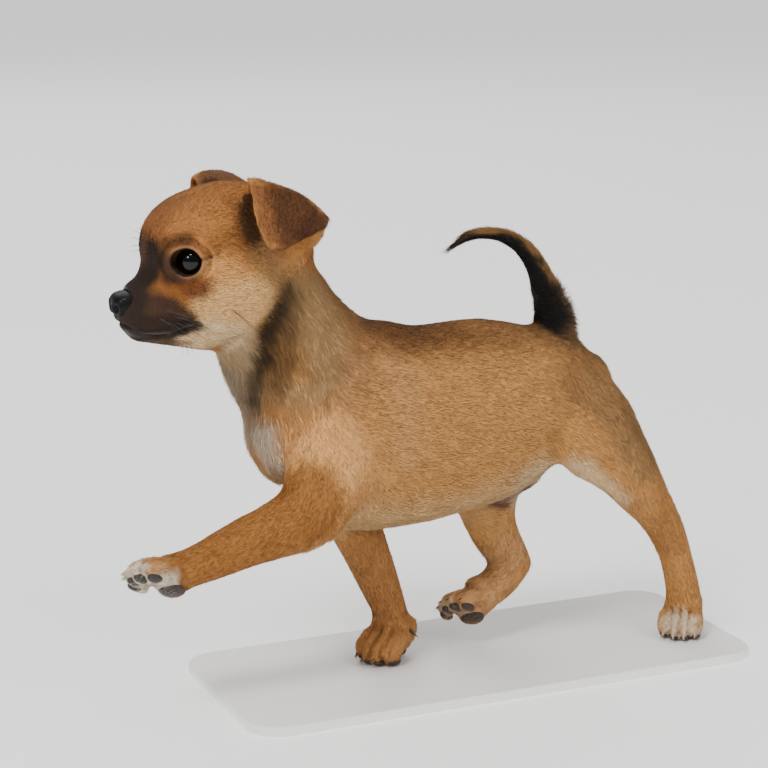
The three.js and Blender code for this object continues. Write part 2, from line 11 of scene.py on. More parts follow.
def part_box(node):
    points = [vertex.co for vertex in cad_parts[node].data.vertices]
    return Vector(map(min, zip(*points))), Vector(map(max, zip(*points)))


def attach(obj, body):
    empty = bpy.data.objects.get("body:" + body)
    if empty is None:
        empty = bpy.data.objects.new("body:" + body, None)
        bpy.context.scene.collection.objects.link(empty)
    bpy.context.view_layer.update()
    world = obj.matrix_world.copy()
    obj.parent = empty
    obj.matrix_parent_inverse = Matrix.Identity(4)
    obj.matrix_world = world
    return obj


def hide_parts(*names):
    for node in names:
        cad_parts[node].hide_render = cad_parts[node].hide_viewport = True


# The puppy itself comes as solids; its eyes give the place of everything else.
# Sizes below are in millimetres from a point on the floor under the middle of the back,
# with the nose towards -X, the left side towards -Y and the top towards +Z.
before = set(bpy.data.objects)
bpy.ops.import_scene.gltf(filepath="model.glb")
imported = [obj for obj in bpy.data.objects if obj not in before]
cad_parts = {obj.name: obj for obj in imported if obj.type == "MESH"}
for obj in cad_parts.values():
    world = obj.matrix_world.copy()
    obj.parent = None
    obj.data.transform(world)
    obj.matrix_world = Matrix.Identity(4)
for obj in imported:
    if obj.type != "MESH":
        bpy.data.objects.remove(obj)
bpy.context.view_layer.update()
EYE_CENTRE = (-85.6, -10.7, 185.8)
low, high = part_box("eye_left")
ORIGIN = np.array((low + high) / 2) * 1000 - np.array(EYE_CENTRE)
FLOOR_HEIGHT = -ORIGIN[2]


def metres(points):
    return (np.asarray(points, float) + ORIGIN) / 1000


def millimetres(points):
    return np.asarray(points, float) * 1000 - ORIGIN


# The stand base is a thin fibreboard plate with rounded corners, sprayed in satin
# white lacquer, which leaves a very faint ripple like the skin of an orange.
LACQUER_WHITE = "#F4F3F0"
LACQUER_RIPPLE = 0.0022
RIPPLE_DEPTH = 0.00004


def linear(colour):
    """An sRGB hex colour as linear red, green, blue and full alpha."""
    parts = [int(colour[k : k + 2], 16) / 255 for k in (1, 3, 5)]
    return [c / 12.92 if c <= 0.04045 else ((c + 0.055) / 1.055) ** 2.4 for c in parts] + [1]


def add(tree, kind, links=(), **settings):
    """A node in the tree, with its settings, and its inputs set or linked by name."""
    node = tree.nodes.new(kind)
    for name, value in settings.items():
        setattr(node, name, value)
    for name, value in links:
        if isinstance(value, bpy.types.NodeSocket):
            tree.links.new(value, node.inputs[name])
        else:
            node.inputs[name].default_value = value
    return node


def surface(name, links):
    """A new material with one shader, whose inputs are set by name."""
    material = bpy.data.materials.new(name)
    material.use_nodes = True
    tree = material.node_tree
    tree.nodes.clear()
    shader = add(tree, "ShaderNodeBsdfPrincipled", links)
    output = add(tree, "ShaderNodeOutputMaterial")
    tree.links.new(shader.outputs["BSDF"], output.inputs["Surface"])
    return material, tree, shader


def worked(tree, shader, pattern, tones=None, depth=None, strength=1.0):
    """Works a pattern into a surface, as two tones of colour, as relief in metres, or as both."""
    if tones:
        shade = add(tree, "ShaderNodeValToRGB", [("Fac", pattern)])
        for stop, tone in zip(shade.color_ramp.elements, tones):
            stop.color = linear(tone)
        tree.links.new(shade.outputs["Color"], shader.inputs["Base Color"])
    if depth:
        relief = add(tree, "ShaderNodeBump", [("Height", pattern), ("Distance", depth),
                                              ("Strength", strength)])
        tree.links.new(relief.outputs["Normal"], shader.inputs["Normal"])


lacquer, tree, shader = surface("lacquered_fibreboard_sprayed", [
    ("Base Color", linear(LACQUER_WHITE)), ("Roughness", 0.38), ("IOR", 1.5)])
place = add(tree, "ShaderNodeTexCoord").outputs["Object"]
ripple = add(tree, "ShaderNodeTexNoise", [("Vector", place), ("Scale", 1 / LACQUER_RIPPLE), ("Detail", 1.0)])
worked(tree, shader, ripple.outputs["Fac"], depth=RIPPLE_DEPTH)
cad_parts["stand_base"].data.materials.clear()
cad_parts["stand_base"].data.materials.append(lacquer)

# The skin is one closed hide over the whole body, as in life: the solids of the body are
# closed up, joined and relaxed where limbs meet the trunk, then drawn in by the depth
# of the coat, so that the hair has room above it.
SOFTNESS = {"torso": 1.0, "neck": 1.0, "foreleg": 0.9, "hindleg": 0.9, "tail": 0.5, "head": 0.0, "ear": 0.0}
POLISH = {"torso": 1.0, "neck": 1.0, "foreleg": 1.0, "hindleg": 1.0, "tail": 0.8, "head": 0.8, "ear": 0.5}
COAT_DEPTH = {"torso": 0.8, "neck": 0.9, "foreleg": 0.7, "hindleg": 0.7, "tail": 0.8, "head": 0.4,
              "ear": 0.25}
PAW = {"softness": 0.0, "polish": 0.25, "depth": 0.3}
FLESH = [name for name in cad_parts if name.split("_")[0] in SOFTNESS]
CLOSING = 0.32
SKIN_GRID = 0.85
FILL_STEPS = 70
POLISH_STEPS = 14
SKIN_TRIANGLES = 180000
EASE = 0.6
MOST_DRAWN_IN = -0.3
MOST_FILLED = 7


def closed_copy(node):
    """A copy of one solid, its corners merged and its faces pushed out to close the joints."""
    shape = bmesh.new()
    shape.from_mesh(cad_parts[node].data)
    bmesh.ops.remove_doubles(shape, verts=shape.verts, dist=1e-6)
    shape.normal_update()
    for vertex in shape.verts:
        vertex.co += vertex.normal * CLOSING / 1000
    mesh = bpy.data.meshes.new(node + "_closed")
    shape.to_mesh(mesh)
    shape.free()
    return mesh


def read(data, name, width=3, kind=float):
    """One property of all of a mesh's items, one row for each."""
    values = np.zeros(len(data) * width, kind)
    data.foreach_get(name, values)
    return values.reshape(-1, width)


def unit(vectors):
    return vectors / np.maximum(np.linalg.norm(vectors, axis=-1, keepdims=True), 1e-9)


def smoothstep(low, high, value):
    t = np.clip((value - low) / (high - low), 0, 1)
    return t * t * (3 - 2 * t)


def to_path(points, path):
    """Distance from each point to a bent line, and the line's direction there."""
    path = np.array(path, float) if len(path) > 1 else np.array([path[0], path[0]], float)
    path[-1] += 0.001
    best = np.full(len(points), 1e9)
    way = np.zeros((len(points), 3))
    for near, far in zip(path[:-1], path[1:]):
        run = far - near
        t = np.clip(((points - near) @ run) / (run @ run), 0, 1)
        gap = np.linalg.norm(points - near - t[:, None] * run, axis=1)
        way[gap < best] = run / np.linalg.norm(run)
        best = np.minimum(best, gap)
    return best, way


def left(points):
    """The same points with the right side folded onto the left."""
    return points * np.where(points[:, 1:2] > 0, [1, -1, 1], 1)


def new_object(name, mesh):
    thing = bpy.data.objects.new(name, mesh)
    bpy.context.scene.collection.objects.link(thing)
    return thing


def finished(thing):
    """The thing as a plain mesh, with its modifiers applied and gone."""
    graph = bpy.context.evaluated_depsgraph_get()
    mesh = bpy.data.meshes.new_from_object(thing.evaluated_get(graph))
    thing.modifiers.clear()
    thing.data = mesh
    return thing


bundle = bmesh.new()
owner = KDTree(sum(len(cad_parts[name].data.vertices) for name in FLESH))
for number, name in enumerate(FLESH):
    bundle.from_mesh(closed_copy(name))
    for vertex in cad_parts[name].data.vertices:
        owner.insert(vertex.co, number)
owner.balance()
mesh = bpy.data.meshes.new("skin")
bundle.to_mesh(mesh)
bundle.free()
skin = new_object("skin", mesh)
hide = skin.modifiers.new("hide", "REMESH")
hide.mode = "VOXEL"
hide.voxel_size = SKIN_GRID / 1000
finished(skin)

edges = read(skin.data.edges, "vertices", 2, int)
count = len(skin.data.vertices)
group = np.arange(count)
while True:
    lower = group.copy()
    np.minimum.at(lower, edges[:, 0], group[edges[:, 1]])
    np.minimum.at(lower, edges[:, 1], group[edges[:, 0]])
    lower = lower[lower]
    if (lower == group).all():
        break
    group = lower
outer = group == np.bincount(group).argmax()
shape = bmesh.new()
shape.from_mesh(skin.data)
bmesh.ops.delete(shape, geom=[v for v, keep in zip(list(shape.verts), outer) if not keep], context="VERTS")
shape.to_mesh(skin.data)
shape.free()

edges = read(skin.data.edges, "vertices", 2, int)
points = millimetres(read(skin.data.vertices, "co"))
count = len(points)
links = np.bincount(edges.ravel(), minlength=count)
owners = np.array([owner.find(p)[1] for p in metres(points).tolist()])


def relaxed(values):
    """Each value moved to the mean of its neighbours over the skin."""
    return np.column_stack([
        (np.bincount(edges[:, 0], column[edges[:, 1]], count)
         + np.bincount(edges[:, 1], column[edges[:, 0]], count)) / links
        for column in values.T])


def outward(values):
    """The skin's outward direction at each point, for the points moved to these places."""
    skin.data.vertices.foreach_set("co", metres(values).ravel())
    skin.data.update()
    return read(skin.data.vertices, "normal")


def by_owner(table, paw, steps=6):
    """A number for each point of skin, from the part of the body that it lies on."""
    given = np.array([PAW[paw] if name.endswith("paw") else table[name.split("_")[0]] for name in FLESH])
    values = given[owners][:, None]
    for step in range(steps):
        values = relaxed(values)
    return values


normals = outward(points)
softness = by_owner(SOFTNESS, "softness")
filled = points.copy()
for step in range(FILL_STEPS):
    filled += EASE * softness * (relaxed(filled) - filled)
rise = np.clip(((filled - points) * normals).sum(1, keepdims=True), MOST_DRAWN_IN, MOST_FILLED)
points = points + normals * rise
polish = by_owner(POLISH, "polish", 3)
for step in range(POLISH_STEPS):
    points += EASE * polish * (relaxed(points) - points)
normals = outward(points)
points -= normals * by_owner(COAT_DEPTH, "depth")

# The hide's own relief: the rims of the lids stand round each eye with a fold above them,
# the lips meet in a line under soft flews, and a furrow runs down each side of the neck.
EYE_AXIS = np.array([-0.67, -0.74, 0.06]) / np.linalg.norm([-0.67, -0.74, 0.06])
EYE_TILT = 0.2
EYE_RADIUS = 8.6
LID_HALF_WIDTH = 6.3
LID_HALF_HEIGHT = 5.3
flat_back = np.cross([0, 0, 1], EYE_AXIS) / np.linalg.norm(np.cross([0, 0, 1], EYE_AXIS))
flat_up = np.cross(EYE_AXIS, flat_back)
EYE_LONG = flat_back * math.cos(EYE_TILT) + flat_up * math.sin(EYE_TILT)
EYE_TALL = flat_up * math.cos(EYE_TILT) - flat_back * math.sin(EYE_TILT)
MOUTH_CORNER = -88
MOUTH_LINE = [(-114, 160.8), (-111, 158.4), (-107, 156.4), (-102, 155.7), (-97, 156.2), (-93, 157.6),
              (-89, 159.8), (-84, 162)]
MOUTH_MENDING = 40
NECK_FURROW = [(-51.5, -23, 172.8), (-56.5, -22.5, 164), (-60, -20.5, 153.3), (-62.2, -17, 140),
               (-62, -14, 130)]
FURROW_DEPTH = 1.5
FURROW_HALF = 2.2
BEHIND_FURROW = [4.5, 0, 1]
ROLL_HEIGHT = 0.7
ROLL_HALF = 3.0
# Rolls and creases round the eye: distance in lid widths, half width, height and where.
LID_FOLDS = [(1.28, 0.2, 0.55, "round"), (1.68, 0.13, -0.75, "above"), (2.0, 0.2, 0.45, "above"),
             (1.62, 0.13, -0.4, "below")]
EYE_CREASE_SLOPE = 0.12
EYE_CREASE_DEPTH = 0.5
EYE_CREASE_HALF = 0.7
# The line of the mouth and the soft lips over and under it: height on the line, half
# width and swell.
LIP_FOLDS = [(0, 0.55, -1.1), (2.4, 1.5, 0.5), (-1.7, 1.0, 0.35)]
LIP_GROOVE_DEPTH = 0.7
LIP_GROOVE_HALF = 0.5
NOSE_CENTRE = (-109.6, 0, 168.2)
NOSE_RING_LIFT = 0.5


def ridge(distance, width):
    return np.exp(-(distance / width) ** 2)


def eye_place(points):
    """Places on the face, measured from the middle of the eye: back along the lids, up and out."""
    away = left(points) - EYE_CENTRE
    return away @ EYE_LONG, away @ EYE_TALL, away @ EYE_AXIS


# Paws: middle of the knuckles, way of the toes, way of its back, scale, added reach of toes.
PAWS = {
    "foreleg_left": ((-106.5, -23.5, 54.6), (-1, -0.1, 0.5), (0.35, 0.52, 0.76), 1.1, 3.2),
    "foreleg_right": ((6, 9.6, 0), (-0.84, -0.54, 0), (0, 0, 1), 1.14, 0.5),
    "hindleg_left": ((140, -15.2, 0), (-0.6, -0.8, 0), (0, 0, 1), 1.02, 0),
    "hindleg_right": ((43.5, 8.4, 12.6), (-1, -0.1, 0.62), (0.45, 0.6, 0.66), 1.04, 0)}
TOE_LANES = (-1.5, -0.5, 0.5, 1.5)
TOE_SPREAD = 4.2
TOE_REACH = 10
TOE_GROOVE = 1.5
TOE_GROOVE_HALF = 0.75
CROUP_CORNER = (99, -15, 123)


def paw_frame(toes, back):
    """Ahead, aside and up for a paw, as unit ways."""
    ahead = unit(np.array(toes, float))
    upper = unit(np.array(back, float) - ahead * (np.array(back) @ ahead))
    return ahead, np.cross(upper, ahead), upper


def above_mouth(points):
    """Height of each point over the line in which the lips meet."""
    return points[:, 2] - np.interp(points[:, 0], *np.array(MOUTH_LINE).T)


mend = ridge(above_mouth(points) - 1.8, 4.2) * smoothstep(-78, -84, points[:, 0])
mend = np.maximum(mend, smoothstep(17, 9, np.linalg.norm(left(points) - CROUP_CORNER, axis=1)))
for step in range(MOUTH_MENDING):
    points += EASE * mend[:, None] * (relaxed(points) - points)
back, up, out = eye_place(points)
around = np.hypot(back / LID_HALF_WIDTH, up / LID_HALF_HEIGHT)
facing = smoothstep(0, 4, out) * (around < 3.5)
upper = smoothstep(-1.5, 2.5, up)
share = {"round": 1, "above": upper, "below": 1 - upper}
lift = np.zeros(count)
for middle, half, height, where in LID_FOLDS:
    lift += facing * share[where] * height * ridge(around - middle, half)
corner_fold = np.hypot(up - EYE_CREASE_SLOPE * (back - LID_HALF_WIDTH), np.maximum(LID_HALF_WIDTH - back, 0))
lift -= facing * EYE_CREASE_DEPTH * ridge(corner_fold, EYE_CREASE_HALF) * smoothstep(16, 9, back)
muzzle = smoothstep(MOUTH_CORNER + 2, MOUTH_CORNER - 5, points[:, 0]) * smoothstep(174, 166, points[:, 2])
above = above_mouth(points)
lift += muzzle * sum(swell * ridge(above - height, half) for height, half, swell in LIP_FOLDS)
front = smoothstep(-108, -111, points[:, 0])
front = front * smoothstep(166, 164, points[:, 2]) * smoothstep(158.5, 160, points[:, 2])
lift -= front * LIP_GROOVE_DEPTH * ridge(points[:, 1], LIP_GROOVE_HALF)
furrow = to_path(left(points), NECK_FURROW)[0]
behind = to_path(left(points) - BEHIND_FURROW, NECK_FURROW)[0]
lift += -FURROW_DEPTH * ridge(furrow, FURROW_HALF) + ROLL_HEIGHT * ridge(behind, ROLL_HALF)
lift += NOSE_RING_LIFT * smoothstep(11, 7.5, np.linalg.norm(points - NOSE_CENTRE, axis=1))
for leg, (at, toes, back, scale, longer) in PAWS.items():
    ahead, aside, upper = paw_frame(toes, back)
    local = (points - at) / scale
    x, y, z = local @ ahead, local @ aside, local @ upper
    away = np.linalg.norm(local, axis=1)
    on_toes = smoothstep(-2, 4, x) * smoothstep(1.5, 3.5, z) * smoothstep(16, 14, away)
    for lane in (-1, 0, 1):
        lift -= TOE_GROOVE * on_toes * ridge(y - lane * TOE_SPREAD, TOE_GROOVE_HALF)
    points += np.outer(longer * smoothstep(2, 10, x) * smoothstep(20, 17, away), ahead)
points += outward(points) * lift[:, None]
normals = outward(points)

# The markings are those of a fawn puppy with a sable saddle: a dark mask and lips, rust
# under the eyes, pale cheeks, white toes and chest, and a tail that is black inside its curl.
# The list also holds painted shade: a dark line down the fold of the neck, a darker grey down
# the front of the neck, darkness at the root of the ear, and the patches named shade.
# Skin and coat take their colour from this list.
FAWN = "#B98449"
UPWARD = ((0, 0, 9000), -0.1, 0.5)
DOWNWARD = ((0, 0, -9000), -0.1, 0.5)
FORWARD = ((-9000, 0, 0), -0.1, 0.5)
BACKWARD = ((9000, 0, 0), -0.1, 0.5)
TAIL_CURL = ((44, 0, 158), -0.35, 0.15)
# Each marking has a path, its full reach and fading reach, a colour and a strength, and
# where they aren't both sides and all round, the side that bears it and what it faces.
MARKINGS = [
    ("nape", [(-42, 0, 186), (-30, 0, 166), (-14, 0, 152), (4, 0, 150)], 8, 16, "#7E5932", 0.85),
    ("neck side", [(-42, -22, 170), (-34, -24, 152), (-30, -26, 142)], 7, 13, "#AC895C", 0.9),
    ("shoulder", [(-44, -28, 112), (-34, -30, 100)], 7, 18, "#DDA465", 0.9),
    ("neck band", [(-52, -20, 130), (-38, -25, 131), (-22, -25, 139)], 2, 7, "#C29C6E", 0.7),
    ("shoulder top", [(-22, -22, 132), (-14, -12, 146)], 5, 13, "#A87645", 0.8),
    ("cream band", [(-4, -20, 140), (-1, -27, 118), (0, -28, 100)], 2, 9, "#C4935F", 0.45),
    ("saddle", [(4, 0, 150), (24, 0, 149), (50, 0, 151)], 11, 17, "#65401D", 0.9, "both", UPWARD),
    ("loin", [(50, 0, 151), (74, 0, 148)], 11, 15, "#96693A", 0.85, "both", UPWARD),
    ("croup", [(78, 0, 144), (92, 0, 136)], 9, 14, "#74502B", 0.8),
    ("rump", [(84, -20, 124), (98, -22, 112), (106, -22, 100)], 6, 14, "#8E6338", 0.8),
    ("breech", [(108, -20, 98), (112, -22, 84), (118, -20, 70)], 3, 8, "#7E5832", 0.7, "both", BACKWARD),
    ("thigh band", [(90, -24, 122), (100, -30, 106), (110, -31, 88)], 5, 10, "#8D6A40", 0.75, "left"),
    ("stifle", [(80, -24, 86), (93, -27, 72), (108, -27, 58)], 3, 7, "#D2B68C", 0.8, "left"),
    ("belly", [(-44, 0, 80), (-10, 0, 70), (30, 0, 70), (62, 0, 82)], 14, 16, "#BE9A6B", 0.8, "both",
     DOWNWARD),
    ("groin", [(62, -8, 84), (72, -10, 74)], 8, 10, "#C9AC84", 0.8),
    ("throat", [(-72, 0, 150), (-68, -6, 144), (-66, -6, 136)], 8, 8, "#BCA17C", 0.9, "both", FORWARD),
    # Painted shade: the pale hair down the front of the neck is painted a darker grey.
    ("throat strip", [(-67, -2, 138), (-63, -3, 126), (-60, -3, 114)], 4, 7, "#9A8670", 0.85, "both",
     FORWARD),
    ("chest patch", [(-57, -9, 113), (-58, -11, 104), (-56, -12, 97)], 1.5, 8.5, "#DCCBB2", 0.9),
    ("neck shade", [(-49, -24, 168), (-53, -22, 150), (-56, -19, 136)], 2, 8, "#6E5130", 0.7),
    # Painted shade: a dark line painted down the fold of the neck, along the furrow in the hide, and on to
    # its lower end.
    ("neck fold", [(-52.5, -24.5, 173), (-56, -23, 166), (-60, -22, 158), (-62, -20, 152),
                   (-62.5, -18.5, 146)],
     2.6, 4.2, "#221508", 0.93),
    ("neck fold end", [(-63.5, -18, 146), (-64, -14, 136), (-63, -11, 128)], 2, 5, "#463319", 0.8),
    ("crown", [(-97, 0, 196), (-84, 0, 208), (-66, 0, 213), (-52, 0, 204)], 24, 12, "#A0652E", 0.95),
    ("forehead", [(-104, 0, 196), (-101, -5, 203), (-96, -10, 206)], 6, 11, "#80502A", 0.75),
    ("brow glow", [(-88, -18, 201), (-74, -26, 200)], 7, 10, "#B0733B", 0.7),
    ("temple", [(-74, -30, 190), (-66, -29, 190)], 8, 9, "#804F20", 0.85),
    ("cheek shade", [(-64, -28, 190), (-60, -27, 181), (-56, -25, 174)], 3, 6, "#8A6940", 0.6),
    ("behind eye", [(-80, -26, 180), (-74, -28, 175)], 6, 8, "#CE9254", 0.9),
    ("cheek", [(-82, -26, 167), (-75, -27, 166), (-70, -26, 169)], 8, 7, "#D0A56C", 0.9),
    ("jaw", [(-88, -13, 153), (-82, -18, 155), (-75, -16, 155)], 7, 7, "#CFB288", 0.88),
    ("under eye", [(-97, -14, 176), (-92, -19.5, 176), (-88, -22.5, 177)], 1.6, 6, "#5C2A0A", 0.9),
    ("muzzle root", [(-101, -11, 176), (-97, -14, 172)], 3, 5, "#87521F", 0.8),
    ("mask", [(-113, 0, 172), (-108, 0, 176), (-105, -3, 181), (-103, -5, 187)], 6, 5, "#0F0905", 0.97),
    ("stop", [(-104, 0, 189), (-103, 0, 193)], 2, 7, "#5A3719", 0.5),
    ("eye mask", [(-102, -9, 188), (-98, -13, 186), (-97, -14, 182)], 3, 5, "#24150B", 0.88),
    ("brow line", [(-99, -13, 193), (-96, -17, 195), (-92, -20, 196)], 1.0, 3.8, "#44270F", 0.8),
    ("muzzle side", [(-112, -5, 169), (-106, -9, 168), (-100, -12, 166), (-94, -14.5, 162.5)], 5, 4.5,
     "#2F1E14", 0.95),
    ("upper lip", [(-110, -6, 162), (-104, -9.5, 160.5), (-98, -12, 160.5)], 3.5, 3, "#2A1A12", 0.95),
    ("snout", [(-111, 0, 169), (-112, 0, 163)], 9.5, 4.5, "#241710", 0.92),
    ("muzzle front", [(-113, 0, 164), (-112, 0, 158)], 7, 4, "#2C1D15", 0.95),
    ("lips", [(-112, -4, 157), (-105, -9, 155.5), (-96, -12, 156.5), (-91, -15, 159.5)], 2.6, 3, "#1D120D",
     0.95),
    ("mouth corner", [(-91, -16, 160), (-87.5, -18, 162)], 0.8, 2.4, "#2B1C13", 0.85),
    ("chin", [(-109, 0, 155), (-99, -4, 152)], 5, 4.5, "#281B13", 0.9),
    ("chin tuft", [(-90, -8, 150.5)], 1, 2.6, "#33241A", 0.85),
    ("ear", [(-56, -24, 208), (-60, -30, 213), (-68, -34, 211), (-64, -36, 203), (-56, -37, 209),
             (-50, -37, 207),
             (-54, -37.5, 200), (-62, -36, 196), (-58, -35.5, 191)], 5, 3.5, "#80502A", 0.95),
    ("ear middle", [(-60, -34, 212), (-58, -36.5, 204), (-56, -37, 198)], 2, 5, "#4B2D13", 0.85),
    ("ear rear", [(-53, -34, 213), (-49, -37, 208), (-50, -38, 201)], 3, 6, "#4A2C15", 0.8),
    ("ear curl", [(-45, -38, 202), (-48, -37.5, 197)], 3, 5, "#41230F", 0.9),
    ("far ear", [(-66, 24, 211), (-60, 28, 214), (-54, 32, 212)], 5, 5, "#6B4728", 0.8, "right"),
    # Painted shadow in the gap between the head and the front of the ear flap.
    ("ear root", [(-68, -21, 211), (-68.5, -22, 204), (-68, -25, 196)], 2, 4.5, "#341D0A", 0.9),
    ("ear edge", [(-72, -31, 213), (-71, -35, 202), (-66, -36, 193), (-60, -35, 187)], 0.8, 4, "#B37A40",
     0.8),
    ("near forearm", [(-48, -32, 88), (-70, -29, 74), (-94, -26, 66)], 12, 8, "#96602A", 0.9, "left"),
    ("far foreleg", [(-4, 16, 86), (0, 14, 56), (8, 12, 22)], 12, 8, "#9E6A38", 0.9, "right"),
    ("far forepaw", [(8, 10, 8), (-4, 4, 6)], 8, 8, "#AE7944", 0.9, "right"),
    ("near shank", [(116, -24, 64), (130, -22, 42), (139, -18, 18)], 9, 8, "#B27C41", 0.9, "left"),
    ("far shank", [(64, 14, 40), (48, 10, 22)], 8, 8, "#C49260", 0.85, "right"),
    ("near fore toes", [(-122, -25, 63), (-115, -24, 56), (-110, -25, 58)], 6.5, 6, "#D8CBB6", 0.95, "left"),
    ("near hind toes", [(133, -24, 6), (138, -20, 3)], 6.5, 4.5, "#CFB898", 0.95, "left"),
    ("far hind toes", [(36, 8, 14), (30, 8, 17)], 5, 5, "#C6B08F", 0.8, "right"),
    ("tail back", [(83, 0, 140), (77, 0, 157), (66, 0, 177), (48, 0, 186), (34, 0, 184)], 9, 4, "#7C5D37",
     0.85),
    ("tail inside", [(81, 0, 146), (76, 0, 157), (66, 0, 177), (48, 0, 186), (32, 0, 182)], 9, 3, "#030202",
     0.98, "both", TAIL_CURL),
    ("tail core", [(80, -3, 148), (75.5, -3, 157), (67, -3, 171), (56, -3, 181)], 3.4, 3.0, "#060403", 0.9),
    ("tail tip", [(31, 0, 182)], 6, 10, "#0F0904", 0.9),
    ("sheath", [(62, 0, 71), (58, 0, 67)], 6.5, 3, "#5E4036", 0.9),
]
# Rings round the eye: distance in lid widths, half width, way up, colour, strength. The dark rim is
# the lids' own skin; the dark rings above and below it are painted shade in the fold over the upper
# lid and under the lower lid.
LID_RINGS = [(1.0, 0.08, 0, "#0C0807", 0.95), (1.17, 0.07, 1, "#A98672", 0.3),
             (1.42, 0.1, 1, "#4A2C1B", 0.6), (1.13, 0.05, -1, "#8E8077", 0.25),
             (1.32, 0.16, -1, "#33201A", 0.6)]
# A dark line is painted along the crease behind the outer corner of each eye, as painted shade.
EYE_CREASE_SHADE_COLOUR = "#3A251B"
EYE_CREASE_SHADE_STRENGTH = 0.75
FACE_MIDDLE = [-84, 0, 182]
RAGGED_EDGE = 1.1
FACE_RAGGED_EDGE = 0.4


def wander(points, reach, seed):
    """A smooth wandering value at each point, about one turn over the given reach."""
    turns = np.random.default_rng(seed).normal(0, 1, (5, 3))
    turns *= 2 * math.pi / reach / np.linalg.norm(turns, axis=1, keepdims=True)
    return sum(np.sin(points @ turn + 1.7 * k) for k, turn in enumerate(turns)) / 2.2


def coat_colour(points, normals):
    """The colour of the hair at each point of the hide, painted shade included, before the shading of single
    hairs.
    """
    fine = smoothstep(50, 36, np.linalg.norm(points - FACE_MIDDLE, axis=1))[:, None]
    ragged = points + (RAGGED_EDGE + (FACE_RAGGED_EDGE - RAGGED_EDGE) * fine) * np.column_stack(
        [wander(points, 5, k) for k in (1, 2, 3)])
    folded = {"both": left(ragged), "left": ragged, "right": ragged}
    colour = np.tile(linear(FAWN)[:3], (len(points), 1))
    for name, path, full, fade, tint, strength, *where in MARKINGS:
        side, target = where + ["both", None][len(where) :]
        reach = to_path(folded[side], path)[0]
        share = strength * smoothstep(full + fade, full, reach)
        if target:
            toward, low, high = target
            share *= smoothstep(low, high, (normals * unit(np.array(toward) - points)).sum(1))
        colour += share[:, None] * (np.array(linear(tint)[:3]) - colour)
    back, up, out = eye_place(points)
    away = np.hypot(back / LID_HALF_WIDTH, up / LID_HALF_HEIGHT)
    # Rings round the eye, among them the painted shade over and under the lids.
    for middle, half, above, tint, strength in LID_RINGS:
        share = strength * ridge(away - middle, half) * (out > 0)
        share *= smoothstep(-0.5, 2.5, up * above) * smoothstep(-6.5, -1, back) if above else 1
        colour += share[:, None] * (np.array(linear(tint)[:3]) - colour)
    # Painted shade along the crease that runs back from the outer corner of the eye.
    crease = ridge(up - 0.15 * (back - LID_HALF_WIDTH), 0.8) * smoothstep(5.5, 7, back)
    crease = EYE_CREASE_SHADE_STRENGTH * (crease * smoothstep(14, 9, back) * (out > 0))
    colour += crease[:, None] * (np.array(linear(EYE_CREASE_SHADE_COLOUR)[:3]) - colour)
    return colour


# The bare parts of the hide are the lid rims, lips, the ring of the nose and the sheath.
BARE = [([(-112, -3, 158), (-105, -8, 156), (-97, -11.5, 156.3), (-90, -16, 159.4)], 1.1, 1.4),
        ([(-112, 0, 168.6), (-108, 0, 168.6)], 6.4, 1.5), ([(60, 0, 69)], 5, 3)]


def bareness(points):
    """How bare the hide is at each point, from 0 under the coat to 1."""
    back, up, out = eye_place(points)
    bare = smoothstep(1.25, 1.1, np.hypot(back / LID_HALF_WIDTH, up / LID_HALF_HEIGHT)) * (out > 0)
    for path, full, fade in BARE:
        bare = np.maximum(bare, smoothstep(full + fade, full, to_path(left(points), path)[0]))
    return bare


colours = coat_colour(points, normals)
bare = bareness(points)
# Where it is furred the hide is painted a little darker than its hair, as painted shade in the gaps between
# tufts.
hide_with_painted_shade = colours * np.where(bare > 0.5, 1, 0.95)[:, None]
paint = skin.data.color_attributes.new("hide_colour", "FLOAT_COLOR", "POINT")
paint.data.foreach_set("color", np.column_stack([hide_with_painted_shade, np.ones(count)]).ravel())
skin.data.attributes.new("bare", "FLOAT", "POINT").data.foreach_set("value", bare)
skin.data.polygons.foreach_set("use_smooth", [True] * len(skin.data.polygons))

# Living hide under short hair is matt from its downy undercoat, and where it is bare,
# as on the lips and lids, it is moist and finely creased.
PORE_SPACING = 0.0006
PORE_DEPTH = 0.00012
DOWN_SPACING = 0.0011
STREAKS = (0.88, 1.12)


def streaked(tree, shader, attribute, speck):
    """Takes the colour from an attribute of the piece, made lighter and darker by a speckle."""
    tint = add(tree, "ShaderNodeAttribute", attribute_name=attribute).outputs["Color"]
    streak = add(tree, "ShaderNodeMapRange", [("Value", speck), ("To Min", STREAKS[0]),
                                              ("To Max", STREAKS[1])])
    mixed = add(tree, "ShaderNodeVectorMath", [(0, tint), (1, streak.outputs["Result"])],
                operation="MULTIPLY")
    tree.links.new(mixed.outputs["Vector"], shader.inputs["Base Color"])


hide_finish, tree, shader = surface(
    "living_hide_with_undercoat", [("IOR", 1.4), ("Specular IOR Level", 0.35)])
place = add(tree, "ShaderNodeTexCoord").outputs["Object"]
bare_share = add(tree, "ShaderNodeAttribute", attribute_name="bare").outputs["Fac"]
down = add(tree, "ShaderNodeTexNoise", [("Vector", place), ("Scale", 1 / DOWN_SPACING), ("Detail", 3.0)])
down = down.outputs["Fac"]
pores = add(tree, "ShaderNodeTexVoronoi", [("Vector", place), ("Scale", 1 / PORE_SPACING)])
streaked(tree, shader, "hide_colour", down)
gloss = add(tree, "ShaderNodeMapRange", [("Value", bare_share), ("To Min", 0.8), ("To Max", 0.36)])
tree.links.new(gloss.outputs["Result"], shader.inputs["Roughness"])
rough_hide = add(tree, "ShaderNodeMath", [(0, down), (1, pores.outputs["Distance"])], operation="ADD")
worked(tree, shader, rough_hide.outputs["Value"], depth=PORE_DEPTH, strength=0.7)
skin.data.materials.clear()
skin.data.materials.append(hide_finish)

